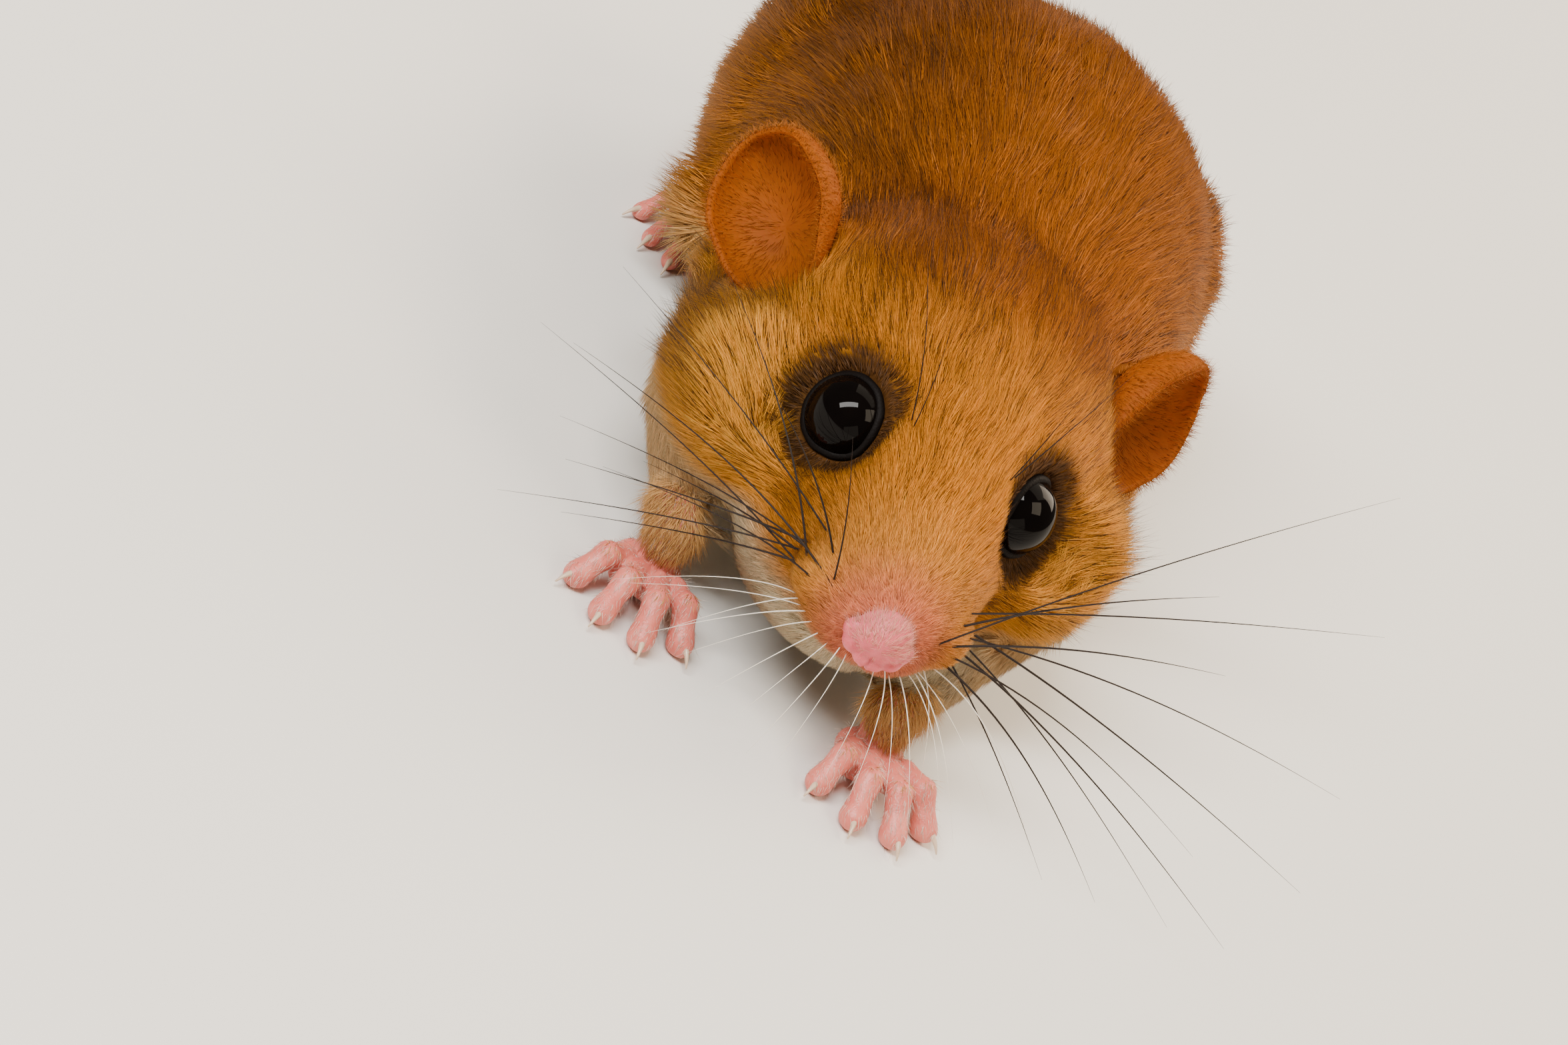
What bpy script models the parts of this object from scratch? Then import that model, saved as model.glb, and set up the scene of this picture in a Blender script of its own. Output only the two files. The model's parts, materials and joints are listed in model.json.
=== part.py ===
"""A hazel dormouse at life size, crouching on four feet with its head low and turned a little left.

Sizes are in millimetres until the last step, which turns the finished solids to metres.
While modelling, the floor is z = 0, the animal looks along -Y, its left side is +X, and
x = y = 0 lies under the middle of the two eyes. The last step moves the origin on the floor
to the middle of the whole animal.
"""

import math
import random

import bmesh
import bpy
from mathutils import Euler, Matrix, Vector

MM = 0.001
GAP = 0.34  # left between two solids that touch

# How the head is held: eye height above the floor, turn to the left, nose down
EYE_HEIGHT = 15.8
HEAD_TURN = math.radians(5)
HEAD_DIP = math.radians(4)
HEAD_PLACE = (
    Matrix.Translation((0, 0, EYE_HEIGHT))
    @ Euler((HEAD_DIP, 0, HEAD_TURN), "XYZ").to_matrix().to_4x4()
)

# The head in its own frame, whose origin lies between the eyes. Each station gives the
# distance behind the eyes, half width, top and underside of the coat
HEAD_STATIONS = (
    (-11.7, 1.5, -3.4, -5.4),
    (-11.1, 2.7, -2.5, -6.6),
    (-9.9, 3.8, -1.4, -7.8),
    (-8.0, 4.8, -0.2, -8.7),
    (-5.5, 5.8, 1.5, -9.3),
    (-3.0, 6.5, 3.1, -9.7),
    (-0.5, 7.4, 4.5, -10.1),
    (2.5, 9.4, 6.0, -10.4),
    (6.5, 11.8, 7.2, -10.5),
    (10.5, 12.8, 7.6, -10.4),
    (14.5, 12.5, 7.0, -9.8),
    (18.0, 10.4, 5.2, -8.6),
)
HEAD_EGG = 0.2  # how much narrower a head section is at its top than at its middle

# Fluffy cheeks, the left one given, and throat, in the head's frame
CHEEK_CENTRE, CHEEK_RADII = Vector((8.3, 6.4, -5.4)), Vector((6.8, 8.4, 6.2))
THROAT_CENTRE, THROAT_RADII = Vector((0.0, -0.4, -8.3)), Vector((8.2, 8.0, 4.9))

# Trunk sections in the floor frame: distance behind the eyes, half width, top, underside
TRUNK_STATIONS = (
    (-1.5, 4.2, 10.6, 6.6),
    (1.5, 8.0, 14.5, 4.4),
    (5.0, 10.4, 18.5, 3.4),
    (9.0, 12.2, 21.4, 2.8),
    (13.5, 13.4, 23.0, 2.5),
    (18.0, 14.2, 24.7, 2.3),
    (23.0, 14.9, 26.5, 2.2),
    (29.0, 15.5, 27.8, 2.2),
    (35.0, 15.7, 27.4, 2.2),
    (41.0, 14.7, 24.8, 2.2),
    (46.0, 12.2, 20.6, 2.5),
    (49.6, 8.8, 16.0, 3.2),
    (52.0, 4.6, 11.8, 4.8),
)
TRUNK_EGG = 0.10

# Eye on the animal's left, in the head's frame
EYE_RADIUS = 2.55
EYE_CENTRE = Vector((5.55, 0.85, -0.7))
EYE_AXIS = Vector((0.72, -0.52, 0.46)).normalized()
LID_STAND = 0.75  # from the eye's centre out to the plane of the lids' rims
LID_THICKNESS = 0.55

# Nose, mouth and whisker pad, in the head's frame
NOSE_PAD = Vector((0, -11.35, -4.6))
NOSTRIL = Vector((0.95, -11.75, -4.85))
NOSTRIL_RADIUS = 0.42
GROOVE_RADIUS = 0.26
MOUTH_CORNER = Vector((4.0, -5.2, -8.3))
LIP_FRONT = Vector((0, -10.4, -7.4))
PAD_CENTRE = Vector((3.9, -7.6, -4.6))
PAD_RADII = Vector((1.9, 2.3, 2.1))

# Ear on the animal's left, in the head's frame: a cup open along its axis
EAR_CENTRE = Vector((13.2, 12.2, 1.3))
EAR_AXIS = Vector((0.62, -0.60, 0.50)).normalized()
EAR_LENGTH_WAY = Vector((0.30, 0.88, 0.40))
EAR_HALF_WIDTH, EAR_HALF_LENGTH, EAR_DEPTH = 4.1, 5.3, 2.9
EAR_WALL = 0.65

# Forefeet: the wrist, and the heading of the toes turned out from straight ahead
WRIST_HEIGHT = 3.7
FOREFEET = {
    "left": (Vector((5.7, -5.6, WRIST_HEIGHT)), math.radians(13)),
    "right": (Vector((-10.0, -1.1, WRIST_HEIGHT)), math.radians(-4)),
}
FOREARM_RADIUS = 1.65
ELBOW = Vector((12.6, 8.6, 6.4))
SHOULDER = Vector((10.4, 15.5, 10.6))

# Hind legs, on the animal's left
HAUNCH_CENTRE, HAUNCH_RADII = Vector((10.9, 36.0, 12.0)), Vector((6.6, 11.6, 9.8))
KNEE, ANKLE = Vector((13.4, 28.2, 6.2)), Vector((11.4, 42.4, 4.2))
ANKLE_HEIGHT = 2.75
HEEL = Vector((11.3, 43.4, 0))
HINDFOOT_TURN = math.radians(9)

# Tail: from the rump, down to the floor and back in one gentle curve to the right
TAIL_ROOT = Vector((0, 50.0, 7.2))
TAIL_LENGTH = 66.0
TAIL_DROP_LENGTH = 11.0
TAIL_TURN = math.radians(-62)
TAIL_RADII = ((0.0, 3.1), (0.12, 3.3), (0.45, 3.9), (0.75, 3.5), (0.93, 2.2), (1.0, 0.7))
TAIL_CUTS = (0.36, 0.67)  # shares of the length where the three parts of the tail meet
TAIL_CORE = 0.76  # radius of the smooth core as a share of the coat's
TAIL_ROOT_SHARE = 0.10  # where the first locks grow

# Flat tapered locks of the tail's coat, in staggered rows over its top and sides
LOCK_SPACING = 5.8
LOCK_LENGTH, LOCK_LEAST = 8.6, 3.4
LOCK_ROOT_SHORT = 0.62  # the first rows, at the bend of the tail, are shorter by this
LOCK_LIFT = math.radians(11)
LOCK_SINK = 0.75
LOCK_CURL = 0.06  # how far a tip bends back to the tail, as a share of the length
LOCK_START = 2.0  # from the front end of a part of the tail to its first row
LOCK_SWAY = 0.08
LOCK_TURNS = tuple(math.radians(turn) for turn in (-84, -28, 28, 84))
LOCK_STAGGER = math.radians(28)
LOCK_WIDEST_TURN = math.radians(100)
LOCK_SHAPE = (
    # share of the length, half width and thickness
    (0.0, 1.0, 0.60),
    (0.42, 1.75, 0.78),
    (0.98, 0.24, 0.45),
)

WHISKER_RADIUS = 0.26
WHISKER_ROWS = (
    # turned back from straight out, raised, length, and place on the pad along and up
    (-0.15, 0.42, 22.0, -0.55, 0.75),
    (0.35, 0.50, 25.0, 0.35, 0.85),
    (-0.30, 0.05, 21.0, -0.80, 0.15),
    (0.10, 0.12, 25.0, 0.00, 0.25),
    (0.45, 0.22, 26.0, 0.75, 0.25),
    (-0.20, -0.22, 14.0, -0.60, -0.55),
    (0.25, -0.16, 19.0, 0.15, -0.50),
)

COLOURS = {
    "coat": (0.56, 0.27, 0.09, 1),
    "ear_skin": (0.45, 0.15, 0.04, 1),
    "eye": (0.005, 0.004, 0.004, 1),
    "foot_skin": (0.66, 0.27, 0.21, 1),
    "whisker": (0.30, 0.14, 0.06, 1),
}


def object_from(name: str, bm: bmesh.types.BMesh):
    """Link a new object that holds the mesh, and free the bmesh."""
    mesh = bpy.data.meshes.new(name)
    bm.to_mesh(mesh)
    bm.free()
    item = bpy.data.objects.new(name, mesh)
    bpy.context.scene.collection.objects.link(item)
    return item


def drop(item) -> None:
    """Remove an object that was only a cutter or a piece."""
    bpy.data.objects.remove(item, do_unlink=True)


def copy_of(item, name: str):
    """A second object with its own mesh."""
    bm = bmesh.new()
    bm.from_mesh(item.data)
    return object_from(name, bm)


def apply_modifiers(item):
    """Bake the object's modifiers into its mesh."""
    bpy.context.view_layer.update()
    depsgraph = bpy.context.evaluated_depsgraph_get()
    baked = bpy.data.meshes.new_from_object(item.evaluated_get(depsgraph))
    item.modifiers.clear()
    item.data = baked
    return item


def transformed(item, matrix: Matrix):
    """Move the object's mesh by the matrix, with its faces kept outward."""
    item.data.transform(matrix)
    if matrix.determinant() < 0:
        item.data.flip_normals()
    return item


def section(y: float, half_width: float, top: float, under: float, egg: float, count: int = 40):
    """Points round one egg-shaped section across the Y axis."""
    middle, half_height = (top + under) / 2, (top - under) / 2
    points = []
    for step in range(count):
        angle = math.tau * step / count
        rise = math.sin(angle)
        points.append(Vector((half_width * math.cos(angle) * (1 - egg * rise), y, middle + half_height * rise)))
    return points


def loft(name: str, rings):
    """A closed skin over rings with the same number of points, a fan closing each end."""
    bm = bmesh.new()
    rows = [[bm.verts.new(point) for point in ring] for ring in rings]
    for near, far in zip(rows, rows[1:]):
        for index, corner in enumerate(near):
            after = (index + 1) % len(near)
            bm.faces.new((corner, near[after], far[after], far[index]))
    for row in (rows[0], rows[-1]):
        hub = bm.verts.new(sum((vertex.co for vertex in row), Vector()) / len(row))
        for index, corner in enumerate(row):
            bm.faces.new((corner, row[(index + 1) % len(row)], hub))
    bmesh.ops.recalc_face_normals(bm, faces=bm.faces)
    return object_from(name, bm)


def smooth_stations(stations, between: int = 4):
    """Stations with curved in-between ones, by cubic interpolation through their neighbours."""
    full = []
    last = len(stations) - 1
    for index in range(last):
        corners = [stations[min(max(index + shift, 0), last)] for shift in (-1, 0, 1, 2)]
        for step in range(between):
            t = step / between
            weights = (
                (-t + 2 * t**2 - t**3) / 2,
                (2 - 5 * t**2 + 3 * t**3) / 2,
                (t + 4 * t**2 - 3 * t**3) / 2,
                (-(t**2) + t**3) / 2,
            )
            full.append([sum(w * corner[k] for w, corner in zip(weights, corners)) for k in range(len(stations[0]))])
    full.append(list(stations[-1]))
    return full


def ball(name: str, centre: Vector, radii: Vector, turn: Matrix = Matrix.Identity(4), fineness: int = 3):
    """An ellipsoid, turned about its centre."""
    bm = bmesh.new()
    matrix = Matrix.Translation(centre) @ turn @ Matrix.Diagonal((*radii, 1))
    bmesh.ops.create_icosphere(bm, subdivisions=fineness, radius=1, matrix=matrix)
    return object_from(name, bm)


def hull(name: str, balls, fineness: int = 2):
    """The convex skin round some balls, each a centre and a radius."""
    bm = bmesh.new()
    for centre, radius in balls:
        bmesh.ops.create_icosphere(bm, subdivisions=fineness, radius=radius, matrix=Matrix.Translation(centre))
    bmesh.ops.delete(bm, geom=list(bm.edges), context="EDGES_FACES")
    found = bmesh.ops.convex_hull(bm, input=list(bm.verts))
    unused = {item for item in found["geom_interior"] + found["geom_unused"] if isinstance(item, bmesh.types.BMVert)}
    bmesh.ops.delete(bm, geom=list(unused), context="VERTS")
    bmesh.ops.recalc_face_normals(bm, faces=bm.faces)
    return object_from(name, bm)


def half_space(name: str, point: Vector, outward: Vector, reach: float = 400.0):
    """A large block whose one face passes through the point, with the block on the outward side."""
    bm = bmesh.new()
    turn = outward.normalized().to_track_quat("Z", "Y").to_matrix().to_4x4()
    matrix = Matrix.Translation(point) @ turn @ Matrix.Translation((0, 0, reach / 2))
    bmesh.ops.create_cube(bm, size=reach, matrix=matrix)
    return object_from(name, bm)


def carve(item, cutter, operation: str = "DIFFERENCE", keep: bool = False):
    """Cut, fuse or intersect the object with another, which is then removed unless kept."""
    modifier = item.modifiers.new("carve", "BOOLEAN")
    modifier.operation = operation
    modifier.solver = "MANIFOLD"
    modifier.object = cutter
    apply_modifiers(item)
    if not keep:
        drop(cutter)
    return item


def fuse(name: str, pieces, voxel: float, smoothing: int):
    """One smooth closed surface round all the pieces, which are removed."""
    bm = bmesh.new()
    for piece in pieces:
        bm.from_mesh(piece.data)
        drop(piece)
    item = object_from(name, bm)
    remesh = item.modifiers.new("remesh", "REMESH")
    remesh.mode = "VOXEL"
    remesh.voxel_size = voxel
    smooth = item.modifiers.new("smooth", "SMOOTH")
    smooth.factor = 0.5
    smooth.iterations = smoothing
    return apply_modifiers(item)


def thinned(item, triangles: int):
    """The same surface in about so many triangles."""
    bm = bmesh.new()
    bm.from_mesh(item.data)
    bmesh.ops.triangulate(bm, faces=bm.faces)
    count = len(bm.faces)
    bm.to_mesh(item.data)
    bm.free()
    if count > triangles:
        decimate = item.modifiers.new("decimate", "DECIMATE")
        decimate.ratio = triangles / count
        apply_modifiers(item)
    return item


def largest_body(item):
    """Keep only the closed surface with the most faces."""
    bm = bmesh.new()
    bm.from_mesh(item.data)
    left = set(bm.faces)
    bodies = []
    while left:
        front = [left.pop()]
        body = set(front)
        while front:
            face = front.pop()
            for edge in face.edges:
                for neighbour in edge.link_faces:
                    if neighbour in left:
                        left.discard(neighbour)
                        body.add(neighbour)
                        front.append(neighbour)
        bodies.append(body)
    bodies.sort(key=len)
    scraps = [face for body in bodies[:-1] for face in body]
    bmesh.ops.delete(bm, geom=scraps, context="FACES")
    bmesh.ops.delete(bm, geom=[vertex for vertex in bm.verts if not vertex.link_faces], context="VERTS")
    bm.to_mesh(item.data)
    bm.free()
    return item


def finished(item, name: str, colour: str, roughness: float = 0.7):
    """Name the node, keep its one body, shade it smooth and give it its material."""
    largest_body(item)
    item.name = name
    item.data.name = name
    item.data.shade_smooth()
    item.data.set_sharp_from_angle(angle=math.radians(50))
    material = bpy.data.materials.get(colour) or bpy.data.materials.new(colour)
    material.use_nodes = True
    shader = material.node_tree.nodes["Principled BSDF"]
    shader.inputs["Base Color"].default_value = COLOURS[colour]
    shader.inputs["Roughness"].default_value = roughness
    shader.inputs["Metallic"].default_value = 0
    item.data.materials.clear()
    item.data.materials.append(material)
    return item


def on_side(vector: Vector, side: int) -> Vector:
    """The point or direction on the left (1) or right (-1) of the animal."""
    return Vector((vector.x * side, vector.y, vector.z))


SIDES = (("left", 1), ("right", -1))


def head_form():
    """The plain form of the head, on the floor frame."""
    rings = [section(*station, HEAD_EGG) for station in smooth_stations(HEAD_STATIONS)]
    return transformed(loft("head_form", rings), HEAD_PLACE)


def wrist_way(side_name: str, side: int) -> Vector:
    """Direction from the wrist up the forearm."""
    return (on_side(ELBOW, side) - FOREFEET[side_name][0]).normalized()


def flesh_form():
    """Head, trunk and limbs as one smooth surface."""
    trunk = loft("trunk_form", [section(*station, TRUNK_EGG) for station in smooth_stations(TRUNK_STATIONS)])
    tail_root = hull("tail_root", ((TAIL_ROOT + Vector((0, -6, 2)), 5.0), (TAIL_ROOT + Vector((0, 3, -1)), 3.0)))
    pieces = [head_form(), trunk, tail_root]
    turn = HEAD_PLACE.to_3x3().to_4x4()
    pieces.append(ball("throat", HEAD_PLACE @ THROAT_CENTRE, THROAT_RADII, turn))
    for side_name, side in SIDES:
        pieces.append(ball("cheek", HEAD_PLACE @ on_side(CHEEK_CENTRE, side), CHEEK_RADII, turn))
        wrist = FOREFEET[side_name][0]
        elbow, shoulder = on_side(ELBOW, side), on_side(SHOULDER, side)
        forearm_end = wrist - wrist_way(side_name, side)
        pieces.append(hull("forearm", ((forearm_end, FOREARM_RADIUS * 0.92), (elbow, FOREARM_RADIUS * 1.5))))
        pieces.append(hull("upper_arm", ((elbow, FOREARM_RADIUS * 1.5), (shoulder, 5.0))))
        pieces.append(ball("haunch", on_side(HAUNCH_CENTRE, side), HAUNCH_RADII))
        pieces.append(hull("thigh", ((on_side(HAUNCH_CENTRE, side), 5.5), (on_side(KNEE, side), 3.1))))
        pieces.append(hull("shank", ((on_side(KNEE, side), 3.1), (on_side(ANKLE, side), 2.1))))
        heel_bone = on_side(ANKLE, side) + Vector((0, 0.6, -3))
        pieces.append(hull("ankle", ((on_side(ANKLE, side), 2.1), (heel_bone, 1.7))))
    return fuse("flesh", pieces, voxel=0.4, smoothing=10)


def foreleg_cell(side_name: str, side: int, grow: float):
    """The space that belongs to a foreleg."""
    wrist = FOREFEET[side_name][0]
    elbow = on_side(ELBOW, side)
    return hull(
        "foreleg_cell",
        (
            (on_side(Vector((13.2, 16.4, 8.6)), side), 5.2 + grow),
            (elbow + Vector((0.4 * side, -0.6, -0.4)), 3.9 + grow),
            (wrist - wrist_way(side_name, side) * 2.0, 2.9 + grow),
        ),
    )


def hindleg_cell(side: int, grow: float):
    """The space that belongs to a hind leg."""
    radii = Vector((7.6, 12.6, 12.6)) + Vector((grow, grow, grow))
    return ball("hindleg_cell", on_side(Vector((14.4, 36.2, 9.6)), side), radii)


def head_cell(grow: float):
    """The space that belongs to the head: before the neck and above the throat."""
    turn = HEAD_PLACE.to_3x3()
    back_way = (turn @ Vector((0, 0.94, -0.34))).normalized()
    throat_way = (turn @ Vector((0, -0.05, -1))).normalized()
    cell = half_space("head_cell", HEAD_PLACE @ Vector((0, 15.6, 0)) + back_way * grow, -back_way)
    return carve(cell, half_space("above", HEAD_PLACE @ Vector((0, 0, -9.5)) + throat_way * grow, -throat_way), "INTERSECT")


NECK_BACK = Vector((0, 22.0, 12.0))
NECK_BACK_WAY = Vector((0, 0.94, -0.34)).normalized()
RUMP_PLANE = TAIL_ROOT + Vector((0, 1.6, 0))


def body_nodes(flesh) -> list:
    """Neck, torso and the upper parts of the legs, cut from the one surface."""
    nodes = []
    for side_name, side in SIDES:
        foreleg = carve(copy_of(flesh, "foreleg"), foreleg_cell(side_name, side, 1.0), "INTERSECT")
        thinned(foreleg, 360)
        carve(foreleg, foreleg_cell(side_name, side, 0.0), "INTERSECT")
        forearm_way = wrist_way(side_name, side)
        carve(foreleg, half_space("wrist", FOREFEET[side_name][0] + forearm_way * GAP, -forearm_way))
        nodes.append(finished(foreleg, f"foreleg_{side_name}", "coat"))
    body = carve(copy_of(flesh, "body"), head_cell(-1.5))
    thinned(body, 2480)
    carve(body, head_cell(GAP))
    for side_name, side in SIDES:
        carve(body, foreleg_cell(side_name, side, GAP))
        hindleg = carve(copy_of(body, "hindleg"), hindleg_cell(side, 0.0), "INTERSECT")
        carve(hindleg, half_space("ankle", Vector((0, 0, ANKLE_HEIGHT + GAP)), Vector((0, 0, -1))))
        nodes.append(finished(hindleg, f"hindleg_{side_name}", "coat"))
        carve(body, hindleg_cell(side, GAP))
    neck = carve(copy_of(body, "neck"), half_space("behind", NECK_BACK, NECK_BACK_WAY))
    torso = carve(body, half_space("before", NECK_BACK + NECK_BACK_WAY * GAP, -NECK_BACK_WAY))
    carve(torso, half_space("rump", RUMP_PLANE, Vector((0, 1, -0.35))))
    nodes.append(finished(neck, "neck", "coat"))
    nodes.append(finished(torso, "torso", "coat"))
    return nodes


def lid_ring(side: int):
    """The raised rim of the lids round one eye."""
    bm = bmesh.new()
    reach = math.sqrt(EYE_RADIUS**2 - LID_STAND**2) + 0.25
    around, across = 24, 6
    rows = []
    for step in range(around):
        angle = math.tau * step / around
        outward = Vector((math.cos(angle), math.sin(angle), 0))
        centre = outward * reach
        row = []
        for turn in range(across):
            sweep = math.tau * turn / across
            row.append(bm.verts.new(centre + (outward * math.cos(sweep) + Vector((0, 0, math.sin(sweep)))) * LID_THICKNESS))
        rows.append(row)
    for index, row in enumerate(rows):
        following = rows[(index + 1) % around]
        for turn in range(across):
            after = (turn + 1) % across
            bm.faces.new((row[turn], following[turn], following[after], row[after]))
    bmesh.ops.recalc_face_normals(bm, faces=bm.faces)
    axis = on_side(EYE_AXIS, side)
    place = Matrix.Translation(on_side(EYE_CENTRE, side) + axis * LID_STAND) @ axis.to_track_quat("Z", "Y").to_matrix().to_4x4()
    return transformed(object_from("lid_ring", bm), HEAD_PLACE @ place)


def tube(name: str, path, radii, sides: int = 6):
    """A closed round tube along the points, with a radius at each."""
    rings = []
    for index, point in enumerate(path):
        along = (path[min(index + 1, len(path) - 1)] - path[max(index - 1, 0)]).normalized()
        across = along.cross(Vector((0.31, 0.17, 0.93))).normalized()
        over = along.cross(across)
        rings.append([
            point + (across * math.cos(math.tau * k / sides) + over * math.sin(math.tau * k / sides)) * radii[index]
            for k in range(sides)
        ])
    return loft(name, rings)


def arc_points(start: Vector, bend: Vector, end: Vector, count: int):
    """Points on the curve from start to end that is drawn towards the bend."""
    points = []
    for step in range(count):
        t = step / (count - 1)
        points.append(start * (1 - t) ** 2 + bend * 2 * t * (1 - t) + end * t**2)
    return points


def snapped(points, surface):
    """The points moved to the nearest places on the object's surface."""
    return [surface.closest_point_on_mesh(point)[1] for point in points]


def ear_cup(side: int):
    """One ear: a thin bowl with a rolled front edge, deeper towards its root."""
    axis = EAR_AXIS
    long_way = (EAR_LENGTH_WAY - axis * EAR_LENGTH_WAY.dot(axis)).normalized()
    wide_way = long_way.cross(axis).normalized()
    around, rows = 26, 6

    def bowl_point(turn: float, depth_angle: float, inset: float) -> Vector:
        wide = math.cos(turn) * math.sin(depth_angle) * (EAR_HALF_WIDTH - inset)
        tall = math.sin(turn) * math.sin(depth_angle) * (EAR_HALF_LENGTH - inset)
        deep = -math.cos(depth_angle) * (EAR_DEPTH - inset)
        narrow = 1 - 0.16 * max(0.0, -math.sin(turn))
        return EAR_CENTRE + wide_way * wide * narrow + long_way * tall + axis * deep

    bm = bmesh.new()
    walls = []
    for inset, order in ((0.0, range(1, rows + 1)), (EAR_WALL, range(rows, 0, -1))):
        for row in order:
            ring = []
            for step in range(around):
                turn = math.tau * step / around
                fold = max(0.0, -math.cos(turn + math.radians(25)))
                rim = math.radians(84 + 34 * fold)
                ring.append(bm.verts.new(bowl_point(turn, rim * row / rows, inset)))
            walls.append(ring)
    for near, far in zip(walls, walls[1:]):
        for index in range(around):
            after = (index + 1) % around
            bm.faces.new((near[index], near[after], far[after], far[index]))
    for ring, inset in ((walls[0], 0.0), (walls[-1], EAR_WALL)):
        hub = bm.verts.new(bowl_point(0, 0, inset))
        for index in range(around):
            bm.faces.new((ring[index], ring[(index + 1) % around], hub))
    bmesh.ops.recalc_face_normals(bm, faces=bm.faces)
    cup = object_from("ear_cup", bm)
    if side < 0:
        transformed(cup, Matrix.Diagonal((-1, 1, 1, 1)))
    return transformed(cup, HEAD_PLACE)


def swollen(item, distance: float):
    """A copy of the object grown outward by the distance."""
    grown = copy_of(item, "grown")
    displace = grown.modifiers.new("grow", "DISPLACE")
    displace.strength = distance
    displace.mid_level = 0
    return apply_modifiers(grown)


def whisker_path(side: int, turn_back: float, raised: float, length: float, along: float, up: float):
    """Points of one whisker, rooted on its pad and drooping a little outward."""
    root = on_side(PAD_CENTRE + Vector((PAD_RADII.x * 0.22, PAD_RADII.y * along * 0.45, PAD_RADII.z * up * 0.45)), side)
    way = on_side(Vector((1.0, turn_back, raised)), side).normalized()
    points = []
    for step in range(5):
        t = step / 4
        droop = Vector((0, 0.12 * length * t**2, -0.16 * length * t**2))
        points.append(HEAD_PLACE @ (root + way * (length * t) + droop))
    return points


def head_nodes(flesh) -> list:
    """Head, ears, eyes and whisker pads."""
    head = carve(copy_of(flesh, "head"), head_cell(1.5), "INTERSECT")
    thinned(head, 1700)
    carve(head, head_cell(0.0), "INTERSECT")
    for side_name, side in SIDES:
        carve(head, foreleg_cell(side_name, side, GAP))
    nodes = []
    surface = thinned(copy_of(flesh, "surface"), 9000)
    grown_surface = swollen(surface, GAP)
    drop(surface)
    for side_name, side in SIDES:
        ear = carve(ear_cup(side), grown_surface, keep=True)
        nodes.append(finished(ear, f"ear_{side_name}", "ear_skin"))
    drop(grown_surface)
    nose = ball("nose_pad", HEAD_PLACE @ NOSE_PAD, Vector((1.7, 0.95, 1.2)), HEAD_PLACE.to_3x3().to_4x4())
    carve(head, nose, "UNION")
    for side_name, side in SIDES:
        carve(head, lid_ring(side), "UNION")
    for side_name, side in SIDES:
        eye_place = HEAD_PLACE @ on_side(EYE_CENTRE, side)
        carve(head, ball("socket", eye_place, Vector((1, 1, 1)) * (EYE_RADIUS + GAP)))
        eye = ball("eye", eye_place, Vector((1, 1, 1)) * EYE_RADIUS)
        nodes.append(finished(eye, f"eye_{side_name}", "eye", 0.05))
        nostril = HEAD_PLACE @ on_side(NOSTRIL, side)
        carve(head, ball("nostril", nostril, Vector((0.8, 1.4, 1.0)) * NOSTRIL_RADIUS * 1.2, fineness=2))
    cut_mouth(head)
    for side_name, side in SIDES:
        pad_turn = HEAD_PLACE.to_3x3().to_4x4()
        place = HEAD_PLACE @ on_side(PAD_CENTRE, side)
        pad = carve(ball("pad", place, PAD_RADII, pad_turn), head, "INTERSECT", keep=True)
        carve(head, ball("pad_recess", place, PAD_RADII + Vector((GAP, GAP, GAP)), pad_turn))
        for row in WHISKER_ROWS:
            path = whisker_path(side, *row)
            radii = [WHISKER_RADIUS * (1 - 0.72 * step / 4) for step in range(5)]
            carve(pad, tube("whisker", path, radii, sides=4), "UNION")
        nodes.append(finished(pad, f"whiskers_{side_name}", "whisker"))
    nodes.append(finished(head, "head", "coat"))
    return nodes


def cut_mouth(head) -> None:
    """The groove from the nose to the lip, and the line of the mouth to both corners."""
    nose_foot = HEAD_PLACE @ Vector((0, -11.6, -5.9))
    lip = HEAD_PLACE @ LIP_FRONT
    middle = snapped(arc_points(nose_foot, (nose_foot + lip) / 2, lip, 4), head)
    carve(head, tube("philtrum", middle, [GROOVE_RADIUS] * len(middle)))
    for _, side in SIDES:
        corner = HEAD_PLACE @ on_side(MOUTH_CORNER, side)
        bend = HEAD_PLACE @ on_side(Vector((2.6, -8.6, -8.8)), side)
        line = snapped(arc_points(lip, bend, corner, 7), head)
        radii = [GROOVE_RADIUS] * (len(line) - 1) + [GROOVE_RADIUS * 0.5]
        carve(head, tube("mouth_line", line, radii))


def foot_toes(toes, spread_base: float, knuckle: Vector, pad_radius: float):
    """Pieces of the toes: each is an arched finger with a pad and a claw, in the foot's frame."""
    pieces = []
    for heading, reach, side_step in toes:
        out = Vector((math.sin(heading), -math.cos(heading), 0))
        root = Vector((side_step * spread_base, knuckle.y + 0.5 * abs(side_step), knuckle.z))
        bend = root + out * reach * 0.52 + Vector((0, 0, 0.45))
        tip = root + out * reach
        tip.z = pad_radius * 0.86
        claw = tip + out * 1.35
        claw.z = 0.16
        pieces.append(hull("toe_root", ((root, pad_radius * 1.02), (bend, pad_radius * 0.92))))
        pieces.append(hull("toe_tip", ((bend, pad_radius * 0.92), (tip, pad_radius))))
        pieces.append(hull("claw", ((tip + Vector((0, 0, 0.15)), 0.34), (claw, 0.13))))
    return pieces


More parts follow.
